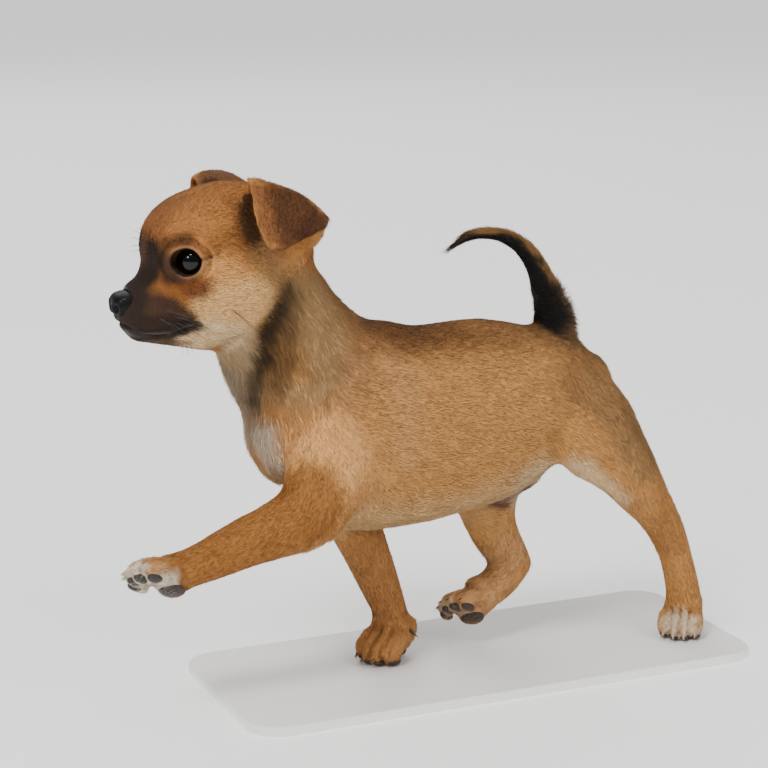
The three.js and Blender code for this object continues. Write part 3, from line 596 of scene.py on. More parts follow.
# The lie of the coat: hair runs back from the nose over the skull, down the neck and
# chest, back along the trunk, down each leg and out along ears and tail.
LIE = [
    ([(-112, 0, 172), (-100, 0, 184), (-88, 0, 208), (-66, 0, 215), (-44, 0, 196), (-34, 0, 172),
      (-16, 0, 150)], 16),
    ([(-112, -6, 166), (-98, -16, 172), (-80, -28, 174), (-60, -28, 172), (-48, -24, 168)], 12),
    ([(-94, -18, 194), (-80, -28, 194), (-62, -30, 188)], 9),
    ([(-112, 0, 156), (-98, -6, 151), (-80, -10, 151), (-66, -6, 146), (-62, 0, 128), (-58, 0, 100),
      (-46, 0, 80)], 11),
    ([(-50, -24, 172), (-46, -24, 154), (-40, -26, 132), (-34, -30, 106), (-30, -30, 88)], 13),
    ([(-16, 0, 152), (20, 0, 150), (60, 0, 151), (84, 0, 144), (100, 0, 122), (108, 0, 100)], 15),
    ([(-18, -28, 120), (20, -28, 112), (60, -27, 104), (78, -26, 96)], 18),
    ([(-46, 0, 80), (0, 0, 68), (56, 0, 80)], 14),
    ([(86, -20, 124), (100, -24, 104), (110, -24, 82), (118, -22, 66), (130, -20, 42), (141, -16, 14),
      (136, -22, 3)], 12),
]
LIE_LEFT = [([(-40, -26, 100), (-52, -32, 86), (-72, -29, 74), (-98, -24, 63), (-116, -24, 60)], 12)]
LIE_RIGHT = [([(-14, 22, 108), (-6, 18, 84), (0, 15, 54), (8, 12, 14), (-6, 4, 3)], 12),
             ([(92, 22, 112), (88, 20, 84), (78, 17, 56), (71, 14, 34), (50, 11, 20), (38, 7, 12)], 11)]
LIE_TAIL = [([(88, 0, 136), (80.6, 0, 146.5), (72.9, 0, 167.6), (57.8, 0, 183.6), (38.9, 0, 185.5),
              (28, 0, 179)], 9)]
LIE_EAR = [([(-60, -14, 198), (-56, -24, 207), (-55, -31, 215), (-57, -37, 202), (-60, -36, 186)], 9)]


def lie_of_coat(points, normals):
    """The way in which the hair lies at each point of the hide."""
    total = np.zeros_like(points)
    folded = left(points)
    turned = np.where(points[:, 1:2] > 0, [1, -1, 1], 1)
    for guides, where, turn in ((LIE, folded, turned), (LIE_LEFT, points, 1), (LIE_RIGHT, points, 1),
                                (LIE_TAIL, points, 1), (LIE_EAR, folded, turned)):
        for path, reach in guides:
            gap, way = to_path(where, path)
            total += way * turn * (reach / (gap + 2))[:, None] ** 4
    return unit(total - normals * (total * normals).sum(1, keepdims=True))


flow = lie_of_coat(points, normals)
for step in range(12):
    flow = relaxed(flow)
    flow = unit(flow - normals * (flow * normals).sum(1, keepdims=True))
kinds = np.array([("paw" if name.endswith("paw") else name.split("_")[0]) for name in FLESH])[owners]

# The coat is short guard hair over down. Each tuft is a few hairs that grow together, a
# tapered spike rooted in the hide, and longer bent locks stand out on the ruff of the
# neck, the chest, the backs of the thighs and the root of the tail.
# Hair: length, width at the root, rise of the tip and tufts on a square millimetre.
HAIR = {
    "head": (2.5, 0.18, 0.2, 4.6), "ear": (2.5, 0.22, 0.28, 3.4), "neck": (4.4, 0.26, 0.6, 3.0),
    "torso": (3.6, 0.22, 0.26, 3.2), "foreleg": (2.9, 0.22, 0.26, 3.1), "hindleg": (3.2, 0.22, 0.26, 3.1),
    "tail": (4.2, 0.26, 0.6, 3.2), "paw": (2.0, 0.22, 0.3, 3.6)}
SHORT_HAIR = [([(-113, 0, 168), (-104, 0, 166), (-98, 0, 172)], 10, 12, 0.45),
              ([(-93, -16, 186)], 5, 9, 0.5), ([(-56, -25, 206), (-56, -34, 200)], 12, 6, 0.8)]
ROUGH = [([(-52, -22, 176), (-58, -20, 156), (-62, -15, 134)], 4, 8),
         ([(-68, 0, 148), (-62, 0, 124), (-57, 0, 98)], 8, 8),
         ([(104, -20, 108), (114, -20, 82), (128, -18, 50)], 5, 7), ([(86, 0, 140), (82, 0, 152)], 6, 7),
         ([(-40, 0, 78), (10, 0, 66), (60, 0, 80)], 8, 8), ([(-26, -28, 84), (-40, -32, 72)], 5, 7)]
TUFT_PATCH = 0.003
ROOT_SINK = 0.25
SOLE_HEIGHT = 0.6
THICKER_WHERE_SHORT = 0.3
SWIRL = 0.12
SWIRL_OF_TUFTS = 0.08
LENGTH_SPREAD = 0.18
RISE_SPREAD = 0.35
ROUGH_LONGER = 0.35
ROUGH_HIGHER = 0.9
TIP_CLEARANCE = 0.75
MOST_LIFT = 1.6
SHADE_OF_TUFTS = 0.08
TONE_RANGE = (0.5, 1.6)
SPARE = 1.0
rng = np.random.default_rng(11)

skin.data.calc_loop_triangles()
corners = read(skin.data.loop_triangles, "vertices", 3, int)
sides = points[corners[:, 1]] - points[corners[:, 0]], points[corners[:, 2]] - points[corners[:, 0]]
area = np.linalg.norm(np.cross(*sides), axis=1) / 2
growth = np.array([HAIR[kind] for kind in kinds])
for step in range(4):
    growth = relaxed(growth)
for path, full, fade, share in SHORT_HAIR:
    near = smoothstep(full + fade, full, to_path(left(points), path)[0])
    for column in (0, 2):
        growth[:, column] *= 1 - (1 - share) * near
    growth[:, 3] *= 1 + THICKER_WHERE_SHORT * near
rough = np.zeros(count)
for path, full, fade in ROUGH:
    rough = np.maximum(rough, smoothstep(full + fade, full, to_path(left(points), path)[0]))
growth[:, 3] *= (1 - bare) * (points[:, 2] > SOLE_HEIGHT)
expected = area * growth[corners, 3].mean(1)
chosen = np.searchsorted(np.cumsum(expected), rng.random(int(expected.sum() * SPARE)) * expected.sum())
blend = rng.random((len(chosen), 2))
blend = np.where(blend.sum(1, keepdims=True) > 1, 1 - blend, blend)
blend = np.column_stack([1 - blend.sum(1), blend])


def carried(values):
    """A value of the hide, carried to the root of each tuft."""
    return (values[corners[chosen]] * blend[:, :, None]).sum(1)


root, up, way = carried(points), unit(carried(normals)), unit(carried(flow))
length, width, rise = carried(growth)[:, :3].T
rough_root = carried(rough[:, None])[:, 0]
piece_of = kinds[corners[chosen, 0]]

swirl = SWIRL * wander(root, 9, 21) + rng.normal(0, SWIRL_OF_TUFTS, len(root))
across = np.cross(up, way)
way = unit(way * np.cos(swirl)[:, None] + across * np.sin(swirl)[:, None])
across = np.cross(up, way)
length = length * np.exp(rng.normal(0, LENGTH_SPREAD, len(root))) * (1 + ROUGH_LONGER * rough_root)
rise = rise * np.exp(rng.normal(0, RISE_SPREAD, len(root))) * (1 + ROUGH_HIGHER * rough_root)
# Where the hide is hollow, a straight tuft would end under it, so its tip is lifted clear.
hide_tree = BVHTree.FromPolygons(metres(points).tolist(), corners.tolist())
tips = root + way * length[:, None] + up * rise[:, None]
found = [hide_tree.find_nearest(place)[:2] for place in metres(tips).tolist()]
over = tips - millimetres(np.array([at for at, facing in found]))
clear = (over * np.array([facing for at, facing in found])).sum(1)
rise += np.clip(TIP_CLEARANCE * rise - clear, 0, MOST_LIFT)
tone = 1 + SHADE_OF_TUFTS * rng.normal(0, 1, len(root))
tone = tone + 0.05 * wander(root, 2.6, 5) + 0.06 * wander(root, 14, 6)
hair_colour = carried(colours) * np.clip(tone, *TONE_RANGE)[:, None]

# The unwrap that lays out the coat's colours follows the hide's own shape, on a coarse
# copy of it that is then thrown away.
PATTERN_TRIANGLES = 7000
ISLAND_ANGLE = 1.2
ISLAND_MARGIN = 0.003
proxy = new_object("hide_pattern", skin.data.copy())
coarse = proxy.modifiers.new("coarse", "DECIMATE")
coarse.ratio = PATTERN_TRIANGLES / len(corners)
finished(proxy)
bpy.context.view_layer.objects.active = proxy
proxy.select_set(True)
bpy.ops.object.mode_set(mode="EDIT")
bpy.ops.mesh.select_all(action="SELECT")
bpy.ops.uv.smart_project(angle_limit=ISLAND_ANGLE, island_margin=ISLAND_MARGIN)
bpy.ops.object.mode_set(mode="OBJECT")
proxy.data.calc_loop_triangles()
pattern_corners = read(proxy.data.loop_triangles, "vertices", 3, int)
pattern_loops = read(proxy.data.loop_triangles, "loops", 3, int)
pattern_points = read(proxy.data.vertices, "co")
layout = read(proxy.data.uv_layers[0].uv, "vector", 2)
tree_of_pattern = BVHTree.FromPolygons(pattern_points.tolist(), pattern_corners.tolist())
nearest = np.array([tree_of_pattern.find_nearest(place)[2] for place in metres(root).tolist()])
a, b, c = (pattern_points[pattern_corners[nearest, k]] for k in range(3))
spot = metres(root)
normal = np.cross(b - a, c - a)
size = (normal * normal).sum(1)
share_b = (np.cross(spot - a, c - a) * normal).sum(1) / size
share_c = (np.cross(b - a, spot - a) * normal).sum(1) / size
shares = np.clip(np.column_stack([1 - share_b - share_c, share_b, share_c]), 0, 1)
shares /= shares.sum(1, keepdims=True)
root_layout = (layout[pattern_loops[nearest]] * shares[:, :, None]).sum(1)
bpy.data.objects.remove(proxy)

SPIKE_FACES = np.array([(0, 3, 1), (1, 3, 2), (2, 3, 0), (0, 1, 2)])
SPIKE_PATCH = np.array([(-0.5, -0.5), (0.5, -0.5), (0, -0.3), (0, 0.5)]) * TUFT_PATCH
LOCK_FACES = np.array([(0, 3, 4), (0, 4, 1), (1, 4, 5), (1, 5, 2), (2, 5, 3), (2, 3, 0),
                       (3, 6, 4), (4, 6, 5), (5, 6, 3), (0, 1, 2)])
LOCK_PATCH = np.array([(-0.5, -0.5), (0.5, -0.5), (0, -0.4), (-0.4, 0), (0.4, 0), (0, 0.05),
                       (0, 0.5)]) * TUFT_PATCH
# Each tuft is painted darker at its root and a little lighter at its tip, as painted shade down among the
# roots.
TONES_ALONG = (0.92, 0.98, 1.04)
LOCK_ROUGHNESS = 0.35
LOCK_SHARE = 0.3

# Guard hair is keratin, with a low gloss broken by a fine speckle, so the coat looks
# silky but not wet.
HAIR_SPECK = 0.0016
hair_finish, tree, shader = surface("guard_hair_short_keratin", [
    ("Roughness", 0.52), ("IOR", 1.55), ("Specular IOR Level", 0.18), ("Sheen Weight", 0.04),
    ("Sheen Roughness", 0.4)])
place = add(tree, "ShaderNodeTexCoord").outputs["Object"]
speck = add(tree, "ShaderNodeTexNoise", [("Vector", place), ("Scale", 1 / HAIR_SPECK), ("Detail", 2.0)])
streaked(tree, shader, "hair_colour", speck.outputs["Fac"])


def grow(name, pick, locks):
    """One piece of the coat: spikes, or bent locks, for the tufts picked out."""
    at, n, d, s = root[pick], up[pick], way[pick], across[pick]
    wide, long, high = width[pick, None], length[pick, None], rise[pick, None]
    base = at - n * ROOT_SINK
    ring = [base - s * wide / 2, base + s * wide / 2, base + n * wide * 0.6]
    if locks:
        middle = at + d * long * 0.5 + n * high * 0.75
        ring += [middle - s * wide * 0.42, middle + s * wide * 0.42, middle + n * wide * 0.4]
    ring.append(at + d * long + n * high)
    faces, patch = (LOCK_FACES, LOCK_PATCH) if locks else (SPIKE_FACES, SPIKE_PATCH)
    per, number = len(ring), len(at)
    corner = (faces[None] + per * np.arange(number)[:, None, None]).ravel()
    mesh = bpy.data.meshes.new(name)
    mesh.vertices.add(per * number)
    mesh.vertices.foreach_set("co", metres(np.stack(ring, 1).reshape(-1, 3)).ravel())
    mesh.loops.add(len(corner))
    mesh.loops.foreach_set("vertex_index", corner)
    mesh.polygons.add(len(corner) // 3)
    mesh.polygons.foreach_set("loop_start", np.arange(0, len(corner), 3))
    mesh.polygons.foreach_set("use_smooth", np.ones(len(corner) // 3, bool))
    spread = root_layout[pick][:, None, None] + patch[faces.ravel()].reshape(1, -1, 2)
    mesh.uv_layers.new(name="OFBake").uv.foreach_set("vector", spread.ravel())
    # Painted shade: each tuft is darker towards its root.
    along = np.array([TONES_ALONG[0]] * 3 + [TONES_ALONG[1]] * 3 * locks + [TONES_ALONG[2]])
    tint = hair_colour[pick][:, None, :] * along[None, :, None]
    paint = mesh.color_attributes.new("hair_colour", "FLOAT_COLOR", "POINT")
    paint.data.foreach_set("color", np.concatenate([tint, np.ones((number, per, 1))], 2).ravel())
    mesh.update(calc_edges=True)
    mesh.materials.append(hair_finish)
    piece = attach(new_object(name, mesh), "root")
    return piece


long_locks = (rough_root > LOCK_ROUGHNESS) & (rng.random(len(root)) < LOCK_SHARE)
left_side = root[:, 1] < 0
COAT = {
    "coat_head_left": (piece_of == "head") & left_side,
    "coat_head_right": (piece_of == "head") & ~left_side,
    "coat_ears": piece_of == "ear",
    "coat_neck": piece_of == "neck",
    "coat_tail": piece_of == "tail",
    "coat_trunk_left": (piece_of == "torso") & left_side,
    "coat_trunk_right": (piece_of == "torso") & ~left_side,
    "coat_forelegs": piece_of == "foreleg",
    "coat_hindlegs": piece_of == "hindleg",
    "coat_paws": piece_of == "paw"}
for name, pick in COAT.items():
    grow(name, np.flatnonzero(pick & ~long_locks), False)
grow("coat_ruff_and_feather", np.flatnonzero(long_locks), True)

# The hide is thinned to a lighter mesh once the coat is rooted in it.
thin = skin.modifiers.new("thin", "DECIMATE")
thin.ratio = SKIN_TRIANGLES / len(corners)
finished(skin)
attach(skin, "root")
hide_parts(*FLESH)

# Each eye is a wet ball with a bulging clear front: the iris is so dark a brown that it
# nearly hides the pupil, and a little reddish white shows only at the corners.
PUPIL_RADIUS = 3.4
IRIS_RADIUS = 6.0
CORNEA_BULGE = 0.55
CORNEA_IOR = 1.376
EYE_FINENESS = 48
eye_finish, tree, shader = surface("wet_eye_ball", [
    ("Roughness", 0.2), ("IOR", CORNEA_IOR), ("Specular IOR Level", 0.0), ("Coat Weight", 1.0),
    ("Coat Roughness", 0.02), ("Coat IOR", CORNEA_IOR)])
ring = add(tree, "ShaderNodeAttribute", attribute_name="from_pupil").outputs["Fac"]
turn = add(tree, "ShaderNodeAttribute", attribute_name="turn").outputs["Fac"]
rays = add(tree, "ShaderNodeTexNoise", [("W", turn), ("Scale", 9.0), ("Detail", 2.0)], noise_dimensions="1D")
fibre = add(tree, "ShaderNodeMapRange", [("Value", rays.outputs["Fac"]), ("To Min", -0.35), ("To Max", 0.35)])
spread = add(tree, "ShaderNodeMath", [(0, ring), (1, fibre.outputs["Result"])],
             operation="ADD").outputs["Value"]
from_middle = add(tree, "ShaderNodeMath", [(0, spread), (1, EYE_RADIUS)], operation="DIVIDE").outputs["Value"]
bands = add(tree, "ShaderNodeValToRGB", [("Fac", from_middle)])
stops = [(0.0, "#010101"), (PUPIL_RADIUS / EYE_RADIUS, "#020101"), (0.45, "#0C0704"), (0.6, "#150C07"),
         (IRIS_RADIUS / EYE_RADIUS, "#080505"), (0.78, "#33231E"), (1.0, "#7C665C")]
for k, (where, colour) in enumerate(stops):
    stop = bands.color_ramp.elements[k] if k < 2 else bands.color_ramp.elements.new(where)
    stop.position, stop.color = where, linear(colour)
tree.links.new(bands.outputs["Color"], shader.inputs["Base Color"])
for side, name in ((-1, "eye_left"), (1, "eye_right")):
    middle = np.array(EYE_CENTRE) * [1, -side, 1]
    aim = EYE_AXIS * [1, -side, 1]
    ball = bmesh.new()
    bmesh.ops.create_uvsphere(ball, u_segments=EYE_FINENESS, v_segments=EYE_FINENESS // 2, radius=1)
    mesh = bpy.data.meshes.new(name + "_ball")
    ball.to_mesh(mesh)
    ball.free()
    turned = np.array(Vector((0, 0, 1)).rotation_difference(Vector(aim)).to_matrix())
    spots = read(mesh.vertices, "co")
    away = np.degrees(np.arccos(np.clip(spots[:, 2], -1, 1)))
    swell = CORNEA_BULGE * smoothstep(44, 12, away)
    swollen = (spots * (EYE_RADIUS + swell)[:, None]) @ turned.T
    mesh.vertices.foreach_set("co", metres(middle + swollen).ravel())
    from_pupil = EYE_RADIUS * np.sin(np.radians(np.minimum(away, 90)))
    round_pupil = np.abs(np.arctan2(spots[:, 1], spots[:, 0]))
    for label, values in (("from_pupil", from_pupil), ("turn", round_pupil)):
        mesh.attributes.new(label, "FLOAT", "POINT").data.foreach_set("value", values)
    mesh.polygons.foreach_set("use_smooth", [True] * len(mesh.polygons))
    mesh.materials.append(eye_finish)
    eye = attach(new_object(name + "_ball", mesh), "root")
    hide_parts(name)

# The edge of each lid is a bare, dark, moist roll of skin that hugs the eye ball, with a
# lining that runs on under the furred lid.
LID_ROLL = [(-0.1, -0.1), (-0.35, 0.25), (-0.15, 0.75), (0.3, 0.9), (0.8, 0.9), (1.3, 0.5), (1.9, -0.3),
            (1.0, -0.7)]
LID_STEPS = 96
LID_CREASING = 0.0009
lid_finish, tree, shader = surface("bare_lid_skin_moist", [
    ("Roughness", 0.5), ("IOR", 1.4), ("Specular IOR Level", 0.25), ("Coat Weight", 0.08),
    ("Coat Roughness", 0.15)])
place = add(tree, "ShaderNodeTexCoord").outputs["Object"]
crease = add(tree, "ShaderNodeTexNoise", [("Vector", place), ("Scale", 1 / LID_CREASING), ("Detail", 2.0)])
worked(tree, shader, crease.outputs["Fac"], ("#0E0908", "#2B1D1A"), 0.0001)
for side, name in ((-1, "lid_left"), (1, "lid_right")):
    flip = np.array([1, -side, 1])
    angle = np.linspace(0, 2 * math.pi, LID_STEPS, endpoint=False)
    point = 1 - 0.1 * np.abs(np.cos(angle)) ** 6
    rings = []
    for out_by, rise_by in LID_ROLL:
        x = (LID_HALF_WIDTH + out_by) * np.cos(angle)
        y = (LID_HALF_HEIGHT + out_by) * np.sin(angle) * point
        height = EYE_RADIUS + CORNEA_BULGE * smoothstep(0.7, 0.2, np.hypot(x, y) / EYE_RADIUS) + rise_by
        z = np.sqrt(np.maximum(height ** 2 - x ** 2 - y ** 2, 0.5))
        ring = np.array(EYE_CENTRE) + x[:, None] * EYE_LONG + y[:, None] * EYE_TALL
        rings.append(ring + z[:, None] * EYE_AXIS)
    spots = (np.stack(rings, 1) * flip).reshape(-1, 3)
    per = len(LID_ROLL)
    pairs = [(k * per, (k + 1) % LID_STEPS * per) for k in range(LID_STEPS)]
    faces = [(here + j, here + (j + 1) % per, there + (j + 1) % per, there + j)
             for here, there in pairs for j in range(per)]
    mesh = bpy.data.meshes.new(name)
    mesh.from_pydata(metres(spots).tolist(), [], faces)
    shape = bmesh.new()
    shape.from_mesh(mesh)
    bmesh.ops.recalc_face_normals(shape, faces=shape.faces)
    shape.to_mesh(mesh)
    shape.free()
    mesh.polygons.foreach_set("use_smooth", [True] * len(mesh.polygons))
    mesh.materials.append(lid_finish)
    lid = new_object(name, mesh)
    round_off = lid.modifiers.new("round", "SUBSURF")
    round_off.levels = round_off.render_levels = 1
    finished(lid)
    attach(lid, "root")

# The nose is a bare pad of thick black leather, pebbled and wet, with a comma-shaped
# nostril on each side and a groove down its middle.
NOSE_RADII = (8.4, 8.1, 5.5)
NOSE_SQUARENESS = 2.5
NOSE_NARROWING = 0.14
NOSTRIL_PLACE = (-0.82, 0.44, -0.12)
NOSTRIL_RADIUS = 1.35
NOSTRIL_DEPTH = 2.1
NOSTRIL_SLIT = [(-3.9, 4.9, -1.6), (-2.0, 6.2, -2.6)]
SLIT_HALF = 0.75
NOSE_GROOVE_DEPTH = 0.7
NOSE_GROOVE_HALF = 0.45
NOSTRIL_WING = 0.45
NOSE_BRIDGE = 0.3
PEBBLE_SPACING = 0.00055
PEBBLE_DEPTH = 0.00018
ball = bmesh.new()
bmesh.ops.create_icosphere(ball, subdivisions=6, radius=1)
mesh = bpy.data.meshes.new("nose_pad")
ball.to_mesh(mesh)
ball.free()
spots = read(mesh.vertices, "co")
spots /= (np.abs(spots) ** NOSE_SQUARENESS).sum(1, keepdims=True) ** (1 / NOSE_SQUARENESS)
place = spots * NOSE_RADII
place[:, 1] *= 1 + NOSE_NARROWING * np.minimum(place[:, 2], 0) / NOSE_RADII[2]
folded = np.column_stack([place[:, 0], np.abs(place[:, 1]), place[:, 2]])
hole = np.array(NOSTRIL_PLACE) * NOSE_RADII
to_hole = np.linalg.norm(folded - hole, axis=1)
slit = to_path(folded, [hole, *NOSTRIL_SLIT])[0]
push = NOSTRIL_DEPTH * ridge(to_hole, NOSTRIL_RADIUS) + ridge(slit, SLIT_HALF)
groove = ridge(place[:, 1], NOSE_GROOVE_HALF) * smoothstep(1.0, -1.5, place[:, 2]) * (place[:, 0] < 0)
push += NOSE_GROOVE_DEPTH * groove
push -= NOSTRIL_WING * ridge(to_hole - 2.3, 0.9) + NOSE_BRIDGE * ridge(place[:, 2] - 3.6, 1.2)
place -= spots * push[:, None]
mesh.vertices.foreach_set("co", metres(place + NOSE_CENTRE).ravel())
mesh.polygons.foreach_set("use_smooth", [True] * len(mesh.polygons))
leather, tree, shader = surface("nose_leather_wet", [
    ("Roughness", 0.5), ("IOR", 1.45), ("Specular IOR Level", 0.12), ("Coat Weight", 0.12),
    ("Coat Roughness", 0.22)])
place = add(tree, "ShaderNodeTexCoord").outputs["Object"]
pebble = add(tree, "ShaderNodeTexVoronoi", [("Vector", place), ("Scale", 1 / PEBBLE_SPACING)])
patch = add(tree, "ShaderNodeTexNoise", [("Vector", place), ("Scale", 350.0)])
worked(tree, shader, patch.outputs["Fac"], ("#050404", "#0C0A0A"))
worked(tree, shader, pebble.outputs["Distance"], depth=-PEBBLE_DEPTH)
mesh.materials.append(leather)
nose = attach(new_object("nose_pad", mesh), "root")
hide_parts("nose")

# Each paw has four curved claws of horn over thick black pads, and the far foreleg shows
# its dewclaw. One point for each carries its size and turn, and Geometry Nodes set the
# shape there.
OUTER_TOE_STEP = 3
CLAW_TIP_RADIUS = 0.00006
DEWCLAWS = {"foreleg_right": ((14.6, 4.9, 12.8), (0.5, -0.45, -0.75))}
CLAW = {"Length": 0.0044, "Radius": 0.00085, "Curl": 45.0}
PAD = {"Radius": 0.001, "Curl": 0.0}
# Places ahead of the toes' reach, out from the paw's middle as a share, and up.
CLAW_PLACE = (1.2, 1.08, 4.5)
CLAW_WAY = (0.86, -0.36, 0.03)
PAD_PLACE = (-1.6, 1.06, 1.55)
MAIN_PAD_PLACE = (-3.2, 0, 2.2)
PAD_RADII = (3.2, 2.4, 1.7)
MAIN_PAD_RADII = (4.7, 5.8, 2.4)


def scatter_tree(name, finish, kind, settings):
    """Geometry Nodes that set one shape on every point, by the point's own turn and size."""
    tree = bpy.data.node_groups.new(name, "GeometryNodeTree")
    tree.interface.new_socket("Geometry", in_out="INPUT", socket_type="NodeSocketGeometry")
    for label, value in settings.items():
        socket = tree.interface.new_socket(label, in_out="INPUT", socket_type="NodeSocketFloat")
        socket.default_value = value
    tree.interface.new_socket("Geometry", in_out="OUTPUT", socket_type="NodeSocketGeometry")
    given = add(tree, "NodeGroupInput").outputs
    if kind == "claw":
        form = add(tree, "GeometryNodeMeshCone", [
            ("Vertices", 12), ("Side Segments", 8), ("Radius Top", CLAW_TIP_RADIUS),
            ("Radius Bottom", given["Radius"]), ("Depth", given["Length"])])
    else:
        form = add(tree, "GeometryNodeMeshUVSphere", [
            ("Segments", 28), ("Rings", 18), ("Radius", given["Radius"])])
    where = add(tree, "GeometryNodeInputPosition").outputs["Position"]
    apart = add(tree, "ShaderNodeSeparateXYZ", [("Vector", where)]).outputs
    square = add(tree, "ShaderNodeMath", [(0, apart["Z"]), (1, apart["Z"])],
                 operation="MULTIPLY").outputs["Value"]
    curl = add(tree, "ShaderNodeMath", [(0, square), (1, given["Curl"])],
               operation="MULTIPLY").outputs["Value"]
    shift = add(tree, "ShaderNodeCombineXYZ", [("X", curl)]).outputs["Vector"]
    bent = add(tree, "GeometryNodeSetPosition", [("Geometry", form.outputs["Mesh"]), ("Offset", shift)])
    turn, size = (add(tree, "GeometryNodeInputNamedAttribute", [("Name", label)], data_type="FLOAT_VECTOR")
                  for label in ("turn", "size"))
    points = add(tree, "GeometryNodeMeshToPoints", [("Mesh", given["Geometry"])]).outputs["Points"]
    placed = add(tree, "GeometryNodeInstanceOnPoints", [
        ("Points", points), ("Instance", bent.outputs["Geometry"]), ("Rotation", turn.outputs["Attribute"]),
        ("Scale", size.outputs["Attribute"])]).outputs["Instances"]
    real = add(tree, "GeometryNodeRealizeInstances", [("Geometry", placed)]).outputs["Geometry"]
    smooth = add(tree, "GeometryNodeSetShadeSmooth", [("Geometry", real)]).outputs["Geometry"]
    dressed = add(tree, "GeometryNodeSetMaterial", [("Geometry", smooth), ("Material", finish)])
    output = add(tree, "NodeGroupOutput")
    tree.links.new(dressed.outputs["Geometry"], output.inputs["Geometry"])
    return tree


def scattered(name, tree, places, turns, sizes, inputs):
    """The piece that the tree makes on these points, as a plain mesh."""
    mesh = bpy.data.meshes.new(name)
    mesh.from_pydata(metres(places).tolist(), [], [])
    for label, values in (("turn", turns), ("size", sizes)):
        layer = mesh.attributes.new(label, "FLOAT_VECTOR", "POINT")
        layer.data.foreach_set("vector", np.array(values, float).ravel())
    thing = new_object(name, mesh)
    maker = thing.modifiers.new("maker", "NODES")
    maker.node_group = tree
    for item in tree.interface.items_tree:
        if item.in_out == "INPUT" and item.name in inputs:
            maker[item.identifier] = inputs[item.name]
    finished(thing)
    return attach(thing, "root")


def turn_to(axis, side):
    """The turn, as XYZ angles, that sets a shape's Z along the axis and its X near the side."""
    z = unit(np.array(axis, float))
    x = unit(np.array(side, float) - z * (z @ np.array(side, float)))
    return Matrix(np.column_stack([x, np.cross(z, x), z]).tolist()).to_euler()


# Claw horn is keratin worn smooth by walking, so that it takes a small sharp highlight.
horn, tree, shader = surface("claw_horn_polished", [("Roughness", 0.28), ("IOR", 1.54)])
place = add(tree, "ShaderNodeTexCoord").outputs["Object"]
tint = add(tree, "ShaderNodeTexNoise", [("Vector", place), ("Scale", 600.0)]).outputs["Fac"]
worked(tree, shader, tint, ("#120D0A", "#2E211A"))
pale_horn = horn.copy()
pale_horn.name = "claw_horn_pale"
pale_ramp = next(node for node in pale_horn.node_tree.nodes if node.type == "VALTORGB").color_ramp
for stop, tone in zip(pale_ramp.elements, ("#A08C78", "#D8C9B4")):
    stop.color = linear(tone)
# Pads are thick horny skin, matt and finely grained where they meet the ground.
PAD_GRAIN = 0.0007
PAD_GRAIN_DEPTH = 0.00015
pad_skin, tree, shader = surface("paw_pad_leather", [("Roughness", 0.6), ("IOR", 1.45)])
place = add(tree, "ShaderNodeTexCoord").outputs["Object"]
grain = add(tree, "ShaderNodeTexVoronoi", [("Vector", place), ("Scale", 1 / PAD_GRAIN)]).outputs["Distance"]
worked(tree, shader, grain, ("#231C1A", "#3A302D"), -PAD_GRAIN_DEPTH)

claw_trees = {finish: scatter_tree("claw_shape_" + label, finish, "claw", CLAW)
              for label, finish in (("dark", horn), ("pale", pale_horn))}
pad_tree = scatter_tree("pad_shape", pad_skin, "pad", PAD)


def on_paw(leg, x, y, z):
    """A place on a paw, from its distance ahead, aside and up from under the knuckles."""
    at, toes, back, scale, longer = PAWS[leg]
    ahead, aside, upper = paw_frame(toes, back)
    return np.array(at) + scale * (ahead * x + aside * y + upper * z)


for leg, (at, toes, back, scale, longer) in PAWS.items():
    ahead, aside, upper = paw_frame(toes, back)
    claws, turns, sizes, pads, pad_turns, pad_sizes = [], [], [], [], [], []
    for lane in TOE_LANES:
        reach = TOE_REACH + longer / scale - (OUTER_TOE_STEP if abs(lane) > 1 else 0)
        y = lane * TOE_SPREAD
        claws.append(on_paw(leg, reach + CLAW_PLACE[0], y * CLAW_PLACE[1], CLAW_PLACE[2]))
        turns.append(turn_to(ahead * CLAW_WAY[0] + upper * CLAW_WAY[1] + aside * lane * CLAW_WAY[2], -upper))
        sizes.append([scale] * 3)
        pads.append(on_paw(leg, reach + PAD_PLACE[0], y * PAD_PLACE[1], PAD_PLACE[2]))
        pad_turns.append(turn_to(upper, ahead))
        pad_sizes.append([r * scale for r in PAD_RADII])
    if leg in DEWCLAWS:
        claws.append(DEWCLAWS[leg][0])
        turns.append(turn_to(DEWCLAWS[leg][1], (1, 0, 0)))
        sizes.append([scale] * 3)
    pads.append(on_paw(leg, *MAIN_PAD_PLACE))
    pad_turns.append(turn_to(upper, ahead))
    pad_sizes.append([r * scale for r in MAIN_PAD_RADII])
    finish = pale_horn if leg.endswith("left") else horn
    piece = scattered("claws_" + leg, claw_trees[finish], claws, turns, sizes, CLAW)
    piece = scattered("pads_" + leg, pad_tree, pads, pad_turns, pad_sizes, PAD)

